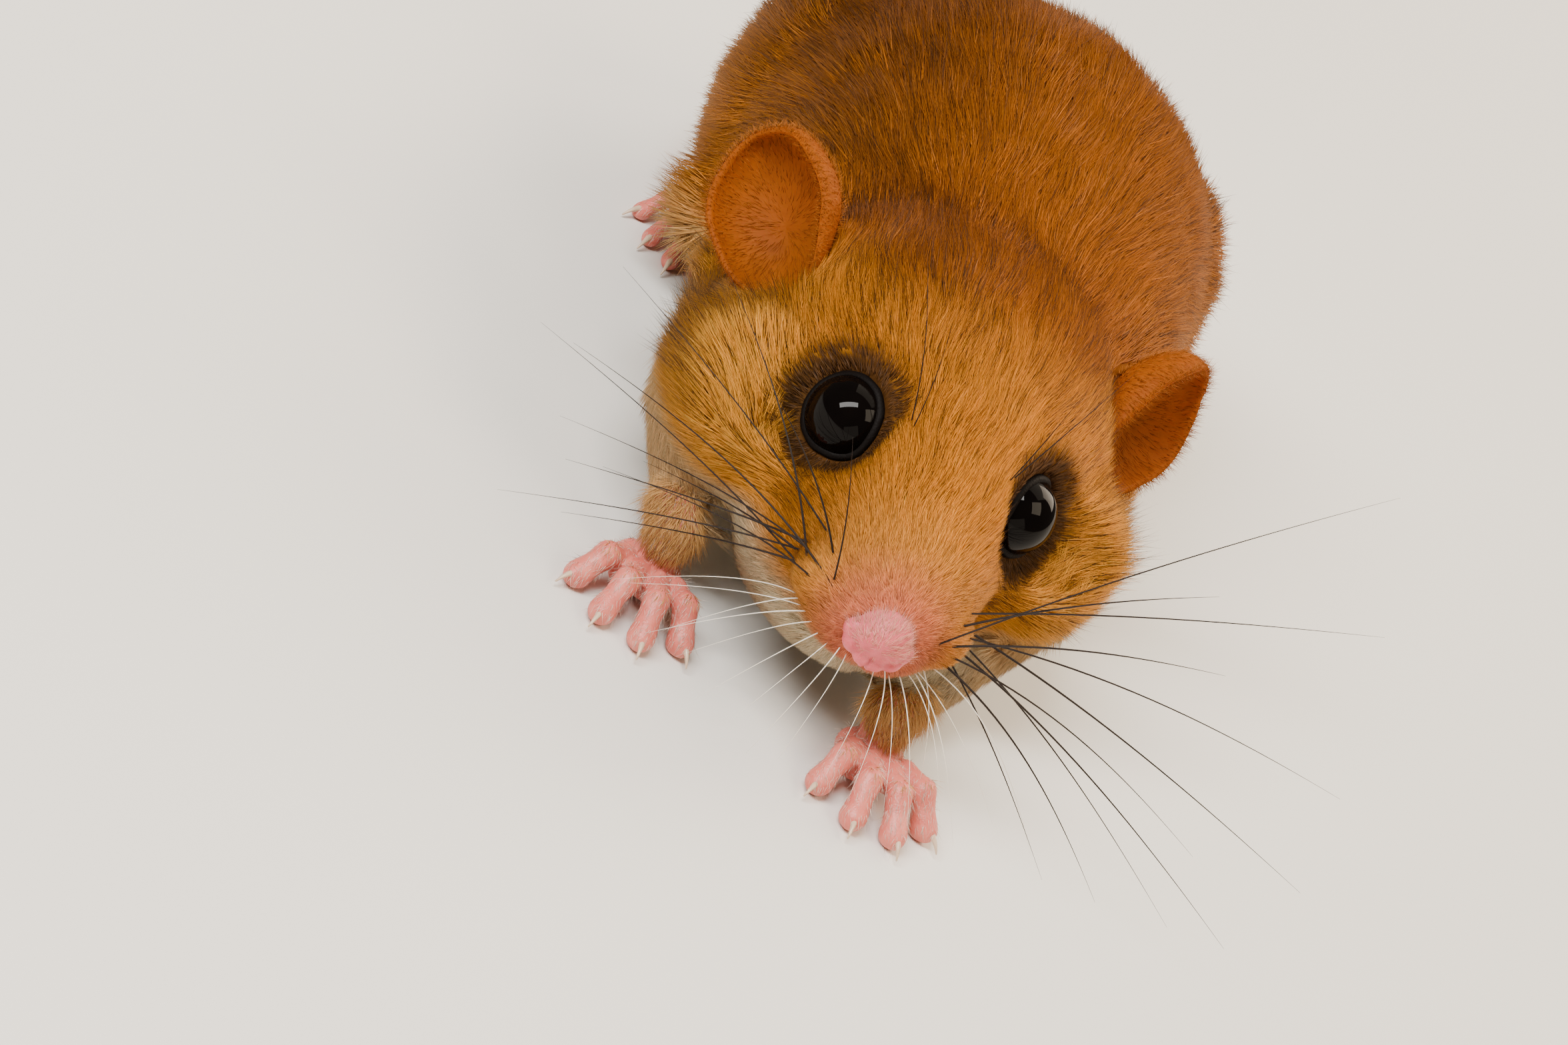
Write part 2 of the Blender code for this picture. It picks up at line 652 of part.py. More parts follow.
def forefoot(side_name: str, side: int):
    """One forefoot with four arched toes, its wrist raised."""
    wrist, turn = FOREFEET[side_name]
    toes = (
        (math.radians(-34), 3.1, -1.4),
        (math.radians(-11), 4.0, -0.5),
        (math.radians(9), 4.1, 0.5),
        (math.radians(33), 3.2, 1.4),
    )
    knuckle = Vector((0, -3.1, 1.75))
    pieces = foot_toes(toes, 1.25, knuckle, 0.78)
    pieces.append(hull("palm", ((Vector((-1.1, -0.9, 1.1)), 1.15), (Vector((1.1, -0.9, 1.1)), 1.15),
                                (Vector((-1.25, -2.9, 1.3)), 0.95), (Vector((1.25, -2.9, 1.3)), 0.95))))
    place = Matrix.Translation((wrist.x, wrist.y, 0)) @ Matrix.Rotation(turn, 4, "Z")
    for piece in pieces:
        transformed(piece, place)
    way = wrist_way(side_name, side)
    pieces.append(hull("wrist", ((wrist + way * 2, FOREARM_RADIUS), (place @ Vector((0, -1.4, 1.5)), 1.35))))
    foot = fuse("forefoot", pieces, voxel=0.2, smoothing=3)
    thinned(foot, 720)
    carve(foot, half_space("floor", Vector((0, 0, 0)), Vector((0, 0, -1))))
    carve(foot, half_space("wrist", wrist, way))
    return finished(foot, f"forefoot_{side_name}", "foot_skin")


def hindfoot(side_name: str, side: int):
    """One long hind foot, flat on the floor, with five toes."""
    toes = (
        (math.radians(-34), 2.9, -1.3),
        (math.radians(-12), 4.3, -0.75),
        (math.radians(0), 4.7, 0.0),
        (math.radians(12), 4.3, 0.75),
        (math.radians(30), 3.2, 1.35),
    )
    knuckle = Vector((0, -8.6, 1.15))
    pieces = foot_toes(toes, 1.15, knuckle, 0.62)
    pieces.append(hull("sole", ((Vector((0, -0.4, 1.05)), 1.25), (Vector((-1.0, -7.6, 1.05)), 1.1), (Vector((1.0, -7.6, 1.05)), 1.1))))
    pieces.append(hull("heel", ((Vector((0, -0.2, 1.2)), 1.4), (Vector((0, -0.9, 4.0)), 1.8))))
    place = Matrix.Translation(on_side(HEEL, side)) @ Matrix.Rotation(HINDFOOT_TURN * side, 4, "Z")
    for piece in pieces:
        transformed(piece, place)
    foot = fuse("hindfoot", pieces, voxel=0.2, smoothing=3)
    thinned(foot, 720)
    carve(foot, half_space("floor", Vector((0, 0, 0)), Vector((0, 0, -1))))
    carve(foot, half_space("ankle", Vector((0, 0, ANKLE_HEIGHT)), Vector((0, 0, 1))))
    return finished(foot, f"hindfoot_{side_name}", "foot_skin")


def tail_radius(share: float) -> float:
    """Outer radius of the tail's coat at a share of its length."""
    for (start, near), (end, far) in zip(TAIL_RADII, TAIL_RADII[1:]):
        if share <= end:
            t = (share - start) / (end - start)
            return near + (far - near) * t * t * (3 - 2 * t)
    return TAIL_RADII[-1][1]


def tail_line(count: int = 67):
    """Points along the middle of the tail, with the share of its length at each."""
    points = []
    x, y = TAIL_ROOT.x, TAIL_ROOT.y
    step_length = TAIL_LENGTH / (count - 1)
    for step in range(count):
        share = step / (count - 1)
        drop_share = min(1.0, share * TAIL_LENGTH / TAIL_DROP_LENGTH)
        settle = drop_share * drop_share * (3 - 2 * drop_share)
        floor_height = tail_radius(share) * TAIL_CORE - 0.12
        points.append((Vector((x, y, TAIL_ROOT.z * (1 - settle) + floor_height * settle)), share))
        heading = TAIL_TURN * share**1.6
        x += math.sin(heading) * step_length
        y += math.cos(heading) * step_length
    return points


def tail_lock(root: Vector, along: Vector, outward: Vector, length: float):
    """One flat tapered lock, lying back along the tail with its tip a little lifted."""
    way = (along * math.cos(LOCK_LIFT) + outward * math.sin(LOCK_LIFT)).normalized()
    across = way.cross(outward).normalized()
    over = across.cross(way)
    rings = []
    for share, half_width, thickness in LOCK_SHAPE:
        centre = root + way * length * share - outward * LOCK_CURL * length * share**2
        rings.append([centre + across * half_width, centre + over * thickness, centre - across * half_width])
    return loft("lock", rings)


def locks_between(path, start: float, end: float, is_last: bool) -> list:
    """The locks rooted between two shares of the tail, none of them past the end but the last."""
    draw = random.Random(round(start * 100))
    steps = len(path) - 1
    pieces = []
    row = 0
    place = start * TAIL_LENGTH + LOCK_START
    while place < end * TAIL_LENGTH - (0.5 if is_last else LOCK_LEAST):
        index = min(round(place / TAIL_LENGTH * steps), steps - 1)
        along = (path[index + 1] - path[index - 1]).normalized()
        aside = along.cross(Vector((0, 0, 1))).normalized()
        upward = aside.cross(along)
        radius = tail_radius(place / TAIL_LENGTH) * TAIL_CORE
        room = LOCK_LENGTH if is_last else end * TAIL_LENGTH - place - GAP
        for turn in LOCK_TURNS:
            angle = turn + (LOCK_STAGGER if row % 2 else 0) + draw.uniform(-LOCK_SWAY, LOCK_SWAY)
            if abs(angle) > LOCK_WIDEST_TURN:
                continue
            outward = upward * math.cos(angle) + aside * math.sin(angle)
            length = min(LOCK_LENGTH * draw.uniform(0.88, 1.08), room)
            if place < TAIL_DROP_LENGTH + LOCK_SPACING:
                length *= LOCK_ROOT_SHORT
            root = path[index] + outward * max(radius - LOCK_SINK, 0.3)
            pieces.append(tail_lock(root, along, outward, length))
        place += LOCK_SPACING
        row += 1
    return pieces


def joined(item, pieces):
    """The object fused with all the pieces, which are removed."""
    gathered = bpy.data.collections.new("gathered")
    for piece in pieces:
        gathered.objects.link(piece)
    modifier = item.modifiers.new("join", "BOOLEAN")
    modifier.operation = "UNION"
    modifier.solver = "MANIFOLD"
    modifier.operand_type = "COLLECTION"
    modifier.collection = gathered
    apply_modifiers(item)
    for piece in pieces:
        drop(piece)
    bpy.data.collections.remove(gathered)
    return item


def tail_nodes() -> list:
    """The tail in three lengths with its coat of locks, resting on the floor."""
    line = tail_line()
    path = [point for point, _ in line]
    radii = [tail_radius(share) * TAIL_CORE for _, share in line]
    core = fuse("tail_core", [tube("tail_form", path, radii, sides=20)], voxel=0.4, smoothing=4)
    thinned(core, 400)
    rump_way = Vector((0, 1, -0.35)).normalized()
    carve(core, half_space("rump", RUMP_PLANE + rump_way * GAP, -rump_way))
    nodes = []
    shares = (TAIL_ROOT_SHARE, *TAIL_CUTS, 1.0)
    for name, start, end in zip(("tail_base", "tail_middle", "tail_tip"), shares, shares[1:]):
        length = copy_of(core, name)
        for share, is_start in ((start, True), (end, False)):
            if share not in TAIL_CUTS:
                continue
            index = round(share * (len(path) - 1))
            way = (path[index + 1] - path[index - 1]).normalized()
            cutter = half_space("cut", path[index] + way * (GAP if is_start else 0), -way if is_start else way)
            carve(length, cutter)
        joined(length, locks_between(path, start, end, name == "tail_tip"))
        carve(length, half_space("floor", Vector((0, 0, 0)), Vector((0, 0, -1))))
        nodes.append(finished(length, name, "coat"))
    drop(core)
    return nodes


def settle_origin(nodes) -> None:
    """Bring the nodes to metres, with the origin on the floor in the middle of the animal."""
    corners = [vertex.co for node in nodes for vertex in node.data.vertices]
    middle_x = (min(c.x for c in corners) + max(c.x for c in corners)) / 2
    middle_y = (min(c.y for c in corners) + max(c.y for c in corners)) / 2
    place = Matrix.Scale(MM, 4) @ Matrix.Translation((-middle_x, -middle_y, 0))
    for node in nodes:
        node.data.transform(place)


def main() -> None:
    """Build every node of the animal."""
    for item in list(bpy.data.objects):
        bpy.data.objects.remove(item, do_unlink=True)
    flesh = flesh_form()
    nodes = body_nodes(flesh) + head_nodes(flesh)
    drop(flesh)
    for side_name, side in SIDES:
        nodes.append(forefoot(side_name, side))
        nodes.append(hindfoot(side_name, side))
    nodes += tail_nodes()
    settle_origin(nodes)


main()
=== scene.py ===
"""The looks of a life-size hazel dormouse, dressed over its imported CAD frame.

Forms are worked out in millimetres on the floor frame of the animal: the floor is z = 0, it
looks along -Y, its left side is +X, and x = y = 0 lies under the middle of its two eyes.
Place.publish turns each finished mesh to metres in the row frame.
"""

import json
import logging
import math
from collections.abc import Callable, Sequence
from dataclasses import dataclass, field
from enum import Enum

import bmesh
import bpy
import numpy as np
from mathutils import Euler, Matrix, Vector
from mathutils.bvhtree import BVHTree

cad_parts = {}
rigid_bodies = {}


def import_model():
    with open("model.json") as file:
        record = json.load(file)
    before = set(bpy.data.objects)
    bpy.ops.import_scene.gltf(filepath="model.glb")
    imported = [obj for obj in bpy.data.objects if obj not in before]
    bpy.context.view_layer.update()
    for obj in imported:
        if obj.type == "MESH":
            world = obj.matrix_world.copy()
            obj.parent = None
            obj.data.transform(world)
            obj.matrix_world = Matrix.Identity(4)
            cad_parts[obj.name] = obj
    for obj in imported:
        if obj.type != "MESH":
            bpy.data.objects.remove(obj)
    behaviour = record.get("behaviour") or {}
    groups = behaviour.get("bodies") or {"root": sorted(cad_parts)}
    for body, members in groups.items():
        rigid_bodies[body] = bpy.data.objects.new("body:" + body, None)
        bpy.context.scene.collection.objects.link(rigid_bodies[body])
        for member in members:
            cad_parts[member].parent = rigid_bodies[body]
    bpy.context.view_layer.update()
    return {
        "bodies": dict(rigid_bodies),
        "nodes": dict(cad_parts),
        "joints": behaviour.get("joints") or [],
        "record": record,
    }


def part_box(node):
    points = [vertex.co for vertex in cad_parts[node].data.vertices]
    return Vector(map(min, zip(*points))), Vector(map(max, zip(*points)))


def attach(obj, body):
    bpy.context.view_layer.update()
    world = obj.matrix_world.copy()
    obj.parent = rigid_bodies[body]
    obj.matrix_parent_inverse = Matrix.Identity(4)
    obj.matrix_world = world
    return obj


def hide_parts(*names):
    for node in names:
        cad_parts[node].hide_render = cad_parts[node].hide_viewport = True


Array = np.ndarray
LOG = logging.getLogger("dormouse")
MM = 0.001
ROOT = "root"
COAT_SLOT, EAR_SLOT, EYE_SLOT = "golden_coat", "ear_skin", "eye"
FOOT_SLOT, WHISKER_SLOT = "foot_skin", "whisker"

# The head's place on the floor frame, and the eye in the head's frame
EYE_HEIGHT = 15.8
HEAD_TURN, HEAD_DIP = math.radians(5), math.radians(4)
EYE_RADIUS = 2.55
EYE_CENTRE = np.array((5.55, 0.85, -0.7))
EYE_AXIS = np.array((0.72, -0.52, 0.46)) / np.linalg.norm((0.72, -0.52, 0.46))
# How high the skin may stand over the eye's middle, by its distance from the eye's axis
LID_ROOF = (2.3, 2.7, 3.5, 4.5, 5.5, 7.0, 8.5), (0.72, 0.98, 1.32, 1.80, 2.42, 3.6, 5.2)
EYE_SINK = 0.4
NOSE_PAD = np.array((0.0, -11.35, -4.6))
# The groove under the nose, and the mouth line of the left side
MOUTH_GROOVE = ((0, -11.6, -5.9), (0, -11.1, -6.7), (0, -10.4, -7.5))
LIP_LINE = (
    (0, -10.4, -7.4), (1.2, -9.9, -7.95), (2.5, -8.4, -8.4), (3.6, -6.6, -8.5), (4.1, -5.3, -8.3)
)
# The swell of the lip that carries the whiskers
PAD_CENTRE, PAD_RADII = np.array((3.9, -7.6, -4.6)), np.array((1.9, 2.3, 2.1))

# The ear: a cup open along its axis, in the head's frame
EAR_CENTRE = np.array((13.2, 12.2, 1.3))
EAR_AXIS = np.array((0.62, -0.60, 0.50)) / np.linalg.norm((0.62, -0.60, 0.50))
EAR_LENGTH_WAY = np.array((0.30, 0.88, 0.40))
EAR_HALF_WIDTH, EAR_HALF_LENGTH, EAR_DEPTH = 4.1, 5.3, 2.9

# Limbs and tail, on the floor frame
WRISTS = {
    "left": (np.array((5.7, -5.6, 3.7)), math.radians(13)),
    "right": (np.array((-10.0, -1.1, 3.7)), math.radians(-4)),
}
ELBOW, ANKLE = np.array((12.6, 8.6, 6.4)), np.array((11.4, 42.4, 4.2))
HEEL, HINDFOOT_TURN = np.array((11.3, 43.4, 0.0)), math.radians(9)
TAIL_ROOT, TAIL_LENGTH, TAIL_DROP_LENGTH = np.array((0.0, 50.0, 7.2)), 66.0, 11.0
TAIL_TURN = math.radians(-62)
TAIL_RADII = ((0.0, 3.1), (0.12, 3.3), (0.45, 3.9), (0.75, 3.5), (0.93, 2.2), (1.0, 0.7))
TAIL_CORE = 0.76

# How the coat changes from the nose to the rump: places along the head's own length, and values.
# All in millimetres, the density in tufts to a square millimetre
COAT_DEPTH = (-12, -9, -4, 2, 8, 16, 26), (0.10, 0.14, 0.24, 0.40, 0.62, 0.95, 1.25)
HAIR_LENGTH = (-12, -9.5, -6, -2, 3, 9, 15, 24), (0.55, 0.70, 1.10, 1.75, 2.5, 3.1, 3.6, 4.5)
HAIR_WIDTH = (-12, -6, 2, 9, 24, 38, 56), (0.052, 0.066, 0.082, 0.094, 0.118, 0.125, 0.17)
HAIR_DENSITY = (-12, -8, -3, 4, 8, 11, 18, 26), (150, 130, 108, 86, 72, 60, 46, 40)
# The tail's hair by share of the tail
TAIL_HAIR_LENGTH = (0, 0.1, 0.3, 0.8, 1.0), (4.2, 4.2, 5.0, 5.6, 6.2)
TAIL_HAIR_DENSITY = 29

SIDES = (("left", 1.0), ("right", -1.0))
FLESH = (
    "head", "neck", "torso", "foreleg_left", "foreleg_right", "hindleg_left", "hindleg_right",
)
TAIL_NODES = ("tail_base", "tail_middle", "tail_tip")


def linear(code: str) -> Array:
    """The linear colour of an sRGB hex code.

    Args:
        code: Six hex digits.

    Returns:
        Red, green and blue from 0 to 1.
    """
    share = np.array([int(code[k:k + 2], 16) / 255 for k in (0, 2, 4)])
    return np.where(share <= 0.04045, share / 12.92, ((share + 0.055) / 1.055) ** 2.4)


def unit(vectors: Array) -> Array:
    """The vectors at length one."""
    return vectors / np.maximum(np.linalg.norm(vectors, axis=-1, keepdims=True), 1e-9)


def ramp(values: Array, low: float, high: float) -> Array:
    """A smooth step from 0 at low to 1 at high; high may lie below low."""
    t = np.clip((values - low) / (high - low), 0, 1)
    return t * t * (3 - 2 * t)


def mirrored(vector: Array, side: float) -> Array:
    """The point or way on the left (1) or right (-1) side."""
    return vector * np.array((side, 1.0, 1.0))


def add_node(
    tree: bpy.types.NodeTree, kind: str, links: dict | None = None, **settings
) -> bpy.types.Node:
    """Add a shader node with its settings and inputs.

    Args:
        tree: The material's tree.
        kind: The node's type.
        links: Input name to a socket or a constant.
        **settings: Attributes of the node.

    Returns:
        The new node.
    """
    node = tree.nodes.new(kind)
    for name, value in settings.items():
        setattr(node, name, value)
    feed(tree, node, links or {})
    return node


def feed(tree: bpy.types.NodeTree, node: bpy.types.Node, inputs: dict) -> None:
    """Link or set inputs of a node.

    Args:
        tree: The material's tree.
        node: The node.
        inputs: Input name to a socket or a constant.
    """
    for socket, source in inputs.items():
        if isinstance(source, bpy.types.NodeSocket):
            tree.links.new(source, node.inputs[socket])
        else:
            node.inputs[socket].default_value = source


def new_material(name: str) -> tuple[bpy.types.Material, bpy.types.NodeTree, bpy.types.Node]:
    """Start a material.

    Args:
        name: The material's name.

    Returns:
        The material, its tree and its main shader.
    """
    material = bpy.data.materials.new(name)
    material.use_nodes = True
    return material, material.node_tree, material.node_tree.nodes["Principled BSDF"]


def two_tones(
    tree: bpy.types.NodeTree, tones: tuple[str, str], grain_mm: float, detail: float
) -> bpy.types.NodeSocket:
    """Two colours that wander into each other.

    Args:
        tree: The material's tree.
        tones: Both sRGB colours.
        grain_mm: Size of the patches in millimetres.
        detail: How ragged their edges are.

    Returns:
        The mixed colour.
    """
    where = add_node(tree, "ShaderNodeTexCoord").outputs["Object"]
    noise = add_node(
        tree, "ShaderNodeTexNoise", {"Vector": where, "Scale": 1 / (grain_mm * MM), "Detail": detail}
    )
    mix = add_node(tree, "ShaderNodeMix", {"Factor": noise.outputs["Fac"]}, data_type="RGBA")
    for socket, tone in zip("AB", tones):
        mix.inputs[socket].default_value = (*linear(tone), 1)
    return mix.outputs["Result"]


def activate_none() -> None:
    """Deselect everything."""
    bpy.ops.object.select_all(action="DESELECT")


def activate(item: bpy.types.Object) -> None:
    """Make the object the only selected and the active one.

    Args:
        item: The object.
    """
    activate_none()
    item.select_set(True)
    bpy.context.view_layer.objects.active = item


def mesh_object(name: str, points: Array, faces: Array) -> bpy.types.Object:
    """A linked object from arrays.

    Args:
        name: The object's name.
        points: N by 3 places.
        faces: M by 3 or M by 4 corner indices, outward.

    Returns:
        The object, shaded smooth.
    """
    mesh = bpy.data.meshes.new(name)
    mesh.vertices.add(len(points))
    mesh.vertices.foreach_set("co", np.ascontiguousarray(points, np.float32).ravel())
    mesh.loops.add(faces.size)
    mesh.loops.foreach_set("vertex_index", np.ascontiguousarray(faces, np.int32).ravel())
    mesh.polygons.add(len(faces))
    mesh.polygons.foreach_set("loop_start", np.arange(len(faces), dtype=np.int32) * faces.shape[1])
    mesh.update(calc_edges=True)
    mesh.shade_smooth()
    item = bpy.data.objects.new(name, mesh)
    bpy.context.scene.collection.objects.link(item)
    return item


def points_of(item: bpy.types.Object, layer: str = "co") -> Array:
    """Read the object's vertices.

    Args:
        item: The object.
        layer: What is read of each.

    Returns:
        N by 3 values.
    """
    flat = np.empty(len(item.data.vertices) * 3, np.float32)
    item.data.vertices.foreach_get(layer, flat)
    return flat.reshape(-1, 3).astype(float)


def normals_of(item: bpy.types.Object) -> Array:
    """The object's vertex normals as an array."""
    return points_of(item, "normal")


def set_points(item: bpy.types.Object, points: Array) -> None:
    """Move the object's vertices."""
    item.data.vertices.foreach_set("co", np.ascontiguousarray(points, np.float32).ravel())
    item.data.update()


def paint(item: bpy.types.Object, colours: Array) -> None:
    """Give each vertex its colour, in the attribute that the materials read.

    Args:
        item: The object.
        colours: N by 3 linear colours.
    """
    attribute = item.data.attributes.new("CoatColour", "FLOAT_COLOR", "POINT")
    full = np.ones((len(colours), 4), np.float32)
    full[:, :3] = np.clip(colours, 0, 1)
    attribute.data.foreach_set("color", full.ravel())


def bake_modifier(item: bpy.types.Object, kind: str, **settings) -> None:
    """Add a modifier and apply it.

    Args:
        item: The object.
        kind: The modifier's type.
        **settings: Attributes of the modifier.
    """
    activate(item)
    modifier = item.modifiers.new(kind.lower(), kind)
    for name, value in settings.items():
        setattr(modifier, name, value)
    bpy.ops.object.modifier_apply(modifier=modifier.name)


def edit_faces(item: bpy.types.Object, outward: bool = False, unwrap: bool = True) -> None:
    """Work on all faces of an object in edit mode.

    Args:
        item: The object.
        outward: Whether the faces are turned outward first.
        unwrap: Whether they are cut to triangles and laid out in the first UV map.
    """
    activate(item)
    bpy.ops.object.mode_set(mode="EDIT")
    bpy.ops.mesh.select_all(action="SELECT")
    if outward:
        bpy.ops.mesh.normals_make_consistent(inside=False)
    if unwrap:
        bpy.ops.mesh.quads_convert_to_tris()
        bpy.ops.uv.smart_project(angle_limit=math.radians(66), island_margin=0.006)
    bpy.ops.object.mode_set(mode="OBJECT")


def wrapped_rings(rings: Array, closed: bool = False) -> tuple[Array, Array]:
    """Points and quads of rings joined in order.

    Args:
        rings: R by K by 3 places; ring points run counter-clockwise seen from the first ring's outside.
        closed: Whether the last ring joins the first.

    Returns:
        The points and the faces, without end caps.
    """
    rows, count = rings.shape[:2]
    near = np.arange(rows if closed else rows - 1)[:, None] * count
    far = (near + count) % (rows * count)
    step, after = np.arange(count)[None], (np.arange(count)[None] + 1) % count
    faces = np.stack((near + step, near + after, far + after, far + step), axis=-1).reshape(-1, 4)
    return rings.reshape(-1, 3), faces


def capped(rings: Array, hubs: Array) -> tuple[Array, Array]:
    """Triangles of rings joined in order, with a fan at each end.

    Args:
        rings: R by K by 3 places.
        hubs: The middle of the first and of the last fan.

    Returns:
        Points and triangles.
    """
    points, quads = wrapped_rings(rings)
    count, sides = len(points), rings.shape[1]
    ring, top = np.arange(sides), count - sides
    after = (ring + 1) % sides
    low = np.stack((np.full(sides, count), after, ring), axis=-1)
    high = np.stack((np.full(sides, count + 1), top + ring, top + after), axis=-1)
    faces = np.concatenate((quads[:, (0, 1, 2)], quads[:, (0, 2, 3)], low, high))
    return np.concatenate((points, hubs)), faces


def tube_arrays(path: Array, radii: Array, sides: int) -> tuple[Array, Array]:
    """A closed round tube as triangles: both ends run to a point.

    Args:
        path: Points along the middle.
        radii: The radius at each.
        sides: Points round.

    Returns:
        Points and triangles.
    """
    along = unit(np.gradient(path, axis=0))
    across = unit(np.cross(along, np.array((0.31, 0.17, 0.93))))
    over = np.cross(along, across)
    angles = np.arange(sides) * math.tau / sides
    rings = path[:, None] + radii[:, None, None] * (
        across[:, None] * np.cos(angles)[None, :, None] + over[:, None] * np.sin(angles)[None, :, None]
    )
    ends = np.stack((path[0] - along[0] * radii[0], path[-1] + along[-1] * radii[-1]))
    return capped(rings, ends)


def gathered(parts: Sequence[tuple[Array, Array]]) -> tuple[Array, Array]:
    """Several point and face arrays as one.

    Args:
        parts: Point and face arrays.

    Returns:
        Their points and faces.
    """
    points, faces, count = [], [], 0
    for part_points, part_faces in parts:
        points.append(part_points)
        faces.append(part_faces + count)
        count += len(part_points)
    return np.concatenate(points), np.concatenate(faces)


def ball_arrays(centres: Array, radii: Array) -> tuple[Array, Array]:
    """Many balls as one set of triangles.

    Args:
        centres: N by 3 places.
        radii: N radii, or N by 3 for ellipsoids along the axes.

    Returns:
        Points and triangles.
    """
    bm = bmesh.new()
    bmesh.ops.create_icosphere(bm, subdivisions=3, radius=1)
    unit_points = np.array([vertex.co for vertex in bm.verts])
    unit_faces = np.array([[vertex.index for vertex in face.verts] for face in bm.faces])
    bm.free()
    spread = np.asarray(radii, float).reshape(len(centres), 1, -1)
    points = centres[:, None] + unit_points[None] * spread
    faces = unit_faces[None] + (np.arange(len(centres)) * len(unit_points))[:, None, None]
    return points.reshape(-1, 3), faces.reshape(-1, 3)


def chain(balls: Sequence[tuple[Sequence[float], float]], between: int = 6) -> tuple[Array, Array]:
    """Centres and radii of balls strung between the given ones.

    Args:
        balls: Centres and radii to pass through.
        between: Balls to each stretch.

    Returns:
        The centres and the radii.
    """
    centres = np.array([centre for centre, _ in balls], float)
    radii = np.array([radius for _, radius in balls], float)
    marks = np.arange(len(balls))
    steps = np.linspace(0, len(balls) - 1, (len(balls) - 1) * between + 1)
    strung = np.stack([np.interp(steps, marks, centres[:, k]) for k in range(3)], axis=-1)
    return strung, np.interp(steps, marks, radii)


def fused(
    name: str, parts: Sequence[tuple[Array, Array]], voxel: float, smoothing: int
) -> bpy.types.Object:
    """One smooth closed skin round all the closed parts.

    Args:
        name: The object's name.
        parts: Point and triangle arrays.
        voxel: Grain of the new skin in millimetres.
        smoothing: Rounds of smoothing.

    Returns:
        The object.
    """
    item = mesh_object(name, *gathered(parts))
    bake_modifier(item, "REMESH", mode="VOXEL", voxel_size=voxel, use_smooth_shade=True)
    bake_modifier(item, "SMOOTH", factor=0.5, iterations=smoothing)
    return item


@dataclass(frozen=True)
class Place:
    """Where the floor frame and the head lie in the row frame."""

    shift: Array
    head: Array

    @classmethod
    def from_frame(cls) -> "Place":
        """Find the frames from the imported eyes.

        Returns:
            The place.
        """
        boxes = [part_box(f"eye_{side_name}") for side_name, _ in SIDES]
        centres = [sum((np.array(corner) for corner in box), np.zeros(3)) / 2 for box in boxes]
        turn = np.array(Euler((HEAD_DIP, 0, HEAD_TURN), "XYZ").to_matrix())
        middle = np.array((0, 0, EYE_HEIGHT)) + turn @ (EYE_CENTRE * (0, 1, 1))
        return cls(sum(centres) / 2 / MM - middle, turn)

    def from_head(self, points: Array) -> Array:
        """Head frame to floor frame."""
        return np.asarray(points) @ self.head.T + (0, 0, EYE_HEIGHT)

    def to_head(self, points: Array) -> Array:
        """Floor frame to head frame."""
        return (np.asarray(points) - (0, 0, EYE_HEIGHT)) @ self.head

    def turned(self, way: Array) -> Array:
        """A way in the head's frame, on the floor frame."""
        return np.asarray(way) @ self.head.T

    def row(self, point: Array) -> Array:
        """Floor frame in millimetres to the row frame in metres."""
        return (np.asarray(point) + self.shift) * MM

    def publish(self, item: bpy.types.Object, slot: str, material: bpy.types.Material, *nodes: str) -> None:
        """Bring a finished piece to metres, dress it and hang it on the model.

        Args:
            item: The piece, in millimetres on the floor frame.
            slot: The record's material slot; not used.
            material: Its finish.
            *nodes: CAD nodes that it stands for.
        """
        item.data.transform(Matrix.Scale(MM, 4) @ Matrix.Translation(Vector(self.shift)))
        item.data.materials.clear()
        item.data.materials.append(material)
        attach(item, ROOT)
        if nodes:
            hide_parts(*nodes)
        LOG.info("%s: %d faces", item.name, len(item.data.polygons))


@dataclass(frozen=True)
class Tail:
    """The line and thickness of the tail."""

    count: int = 133

    def radius(self, share: float) -> float:
        """Outer radius of the coat at a share of the length.

        Args:
            share: Share of the tail's length.

        Returns:
            The radius in millimetres.
        """
        for (start, near), (end, far) in zip(TAIL_RADII, TAIL_RADII[1:]):
            if share <= end:
                t = (share - start) / (end - start)
                return near + (far - near) * t * t * (3 - 2 * t)
        return TAIL_RADII[-1][1]

    def line(self) -> Array:
        """Points along the middle of the tail, on the floor frame.

        Returns:
            N by 3 places.
        """
        points = []
        x, y = TAIL_ROOT[0], TAIL_ROOT[1]
        step_length = TAIL_LENGTH / (self.count - 1)
        for step in range(self.count):
            share = step / (self.count - 1)
            drop = min(1.0, share * TAIL_LENGTH / TAIL_DROP_LENGTH)
            settle = drop * drop * (3 - 2 * drop)
            low = self.radius(share) * TAIL_CORE - 0.12
            points.append((x, y, TAIL_ROOT[2] * (1 - settle) + low * settle))
            heading = TAIL_TURN * share**1.6
            x += math.sin(heading) * step_length
            y += math.cos(heading) * step_length
        return np.array(points)


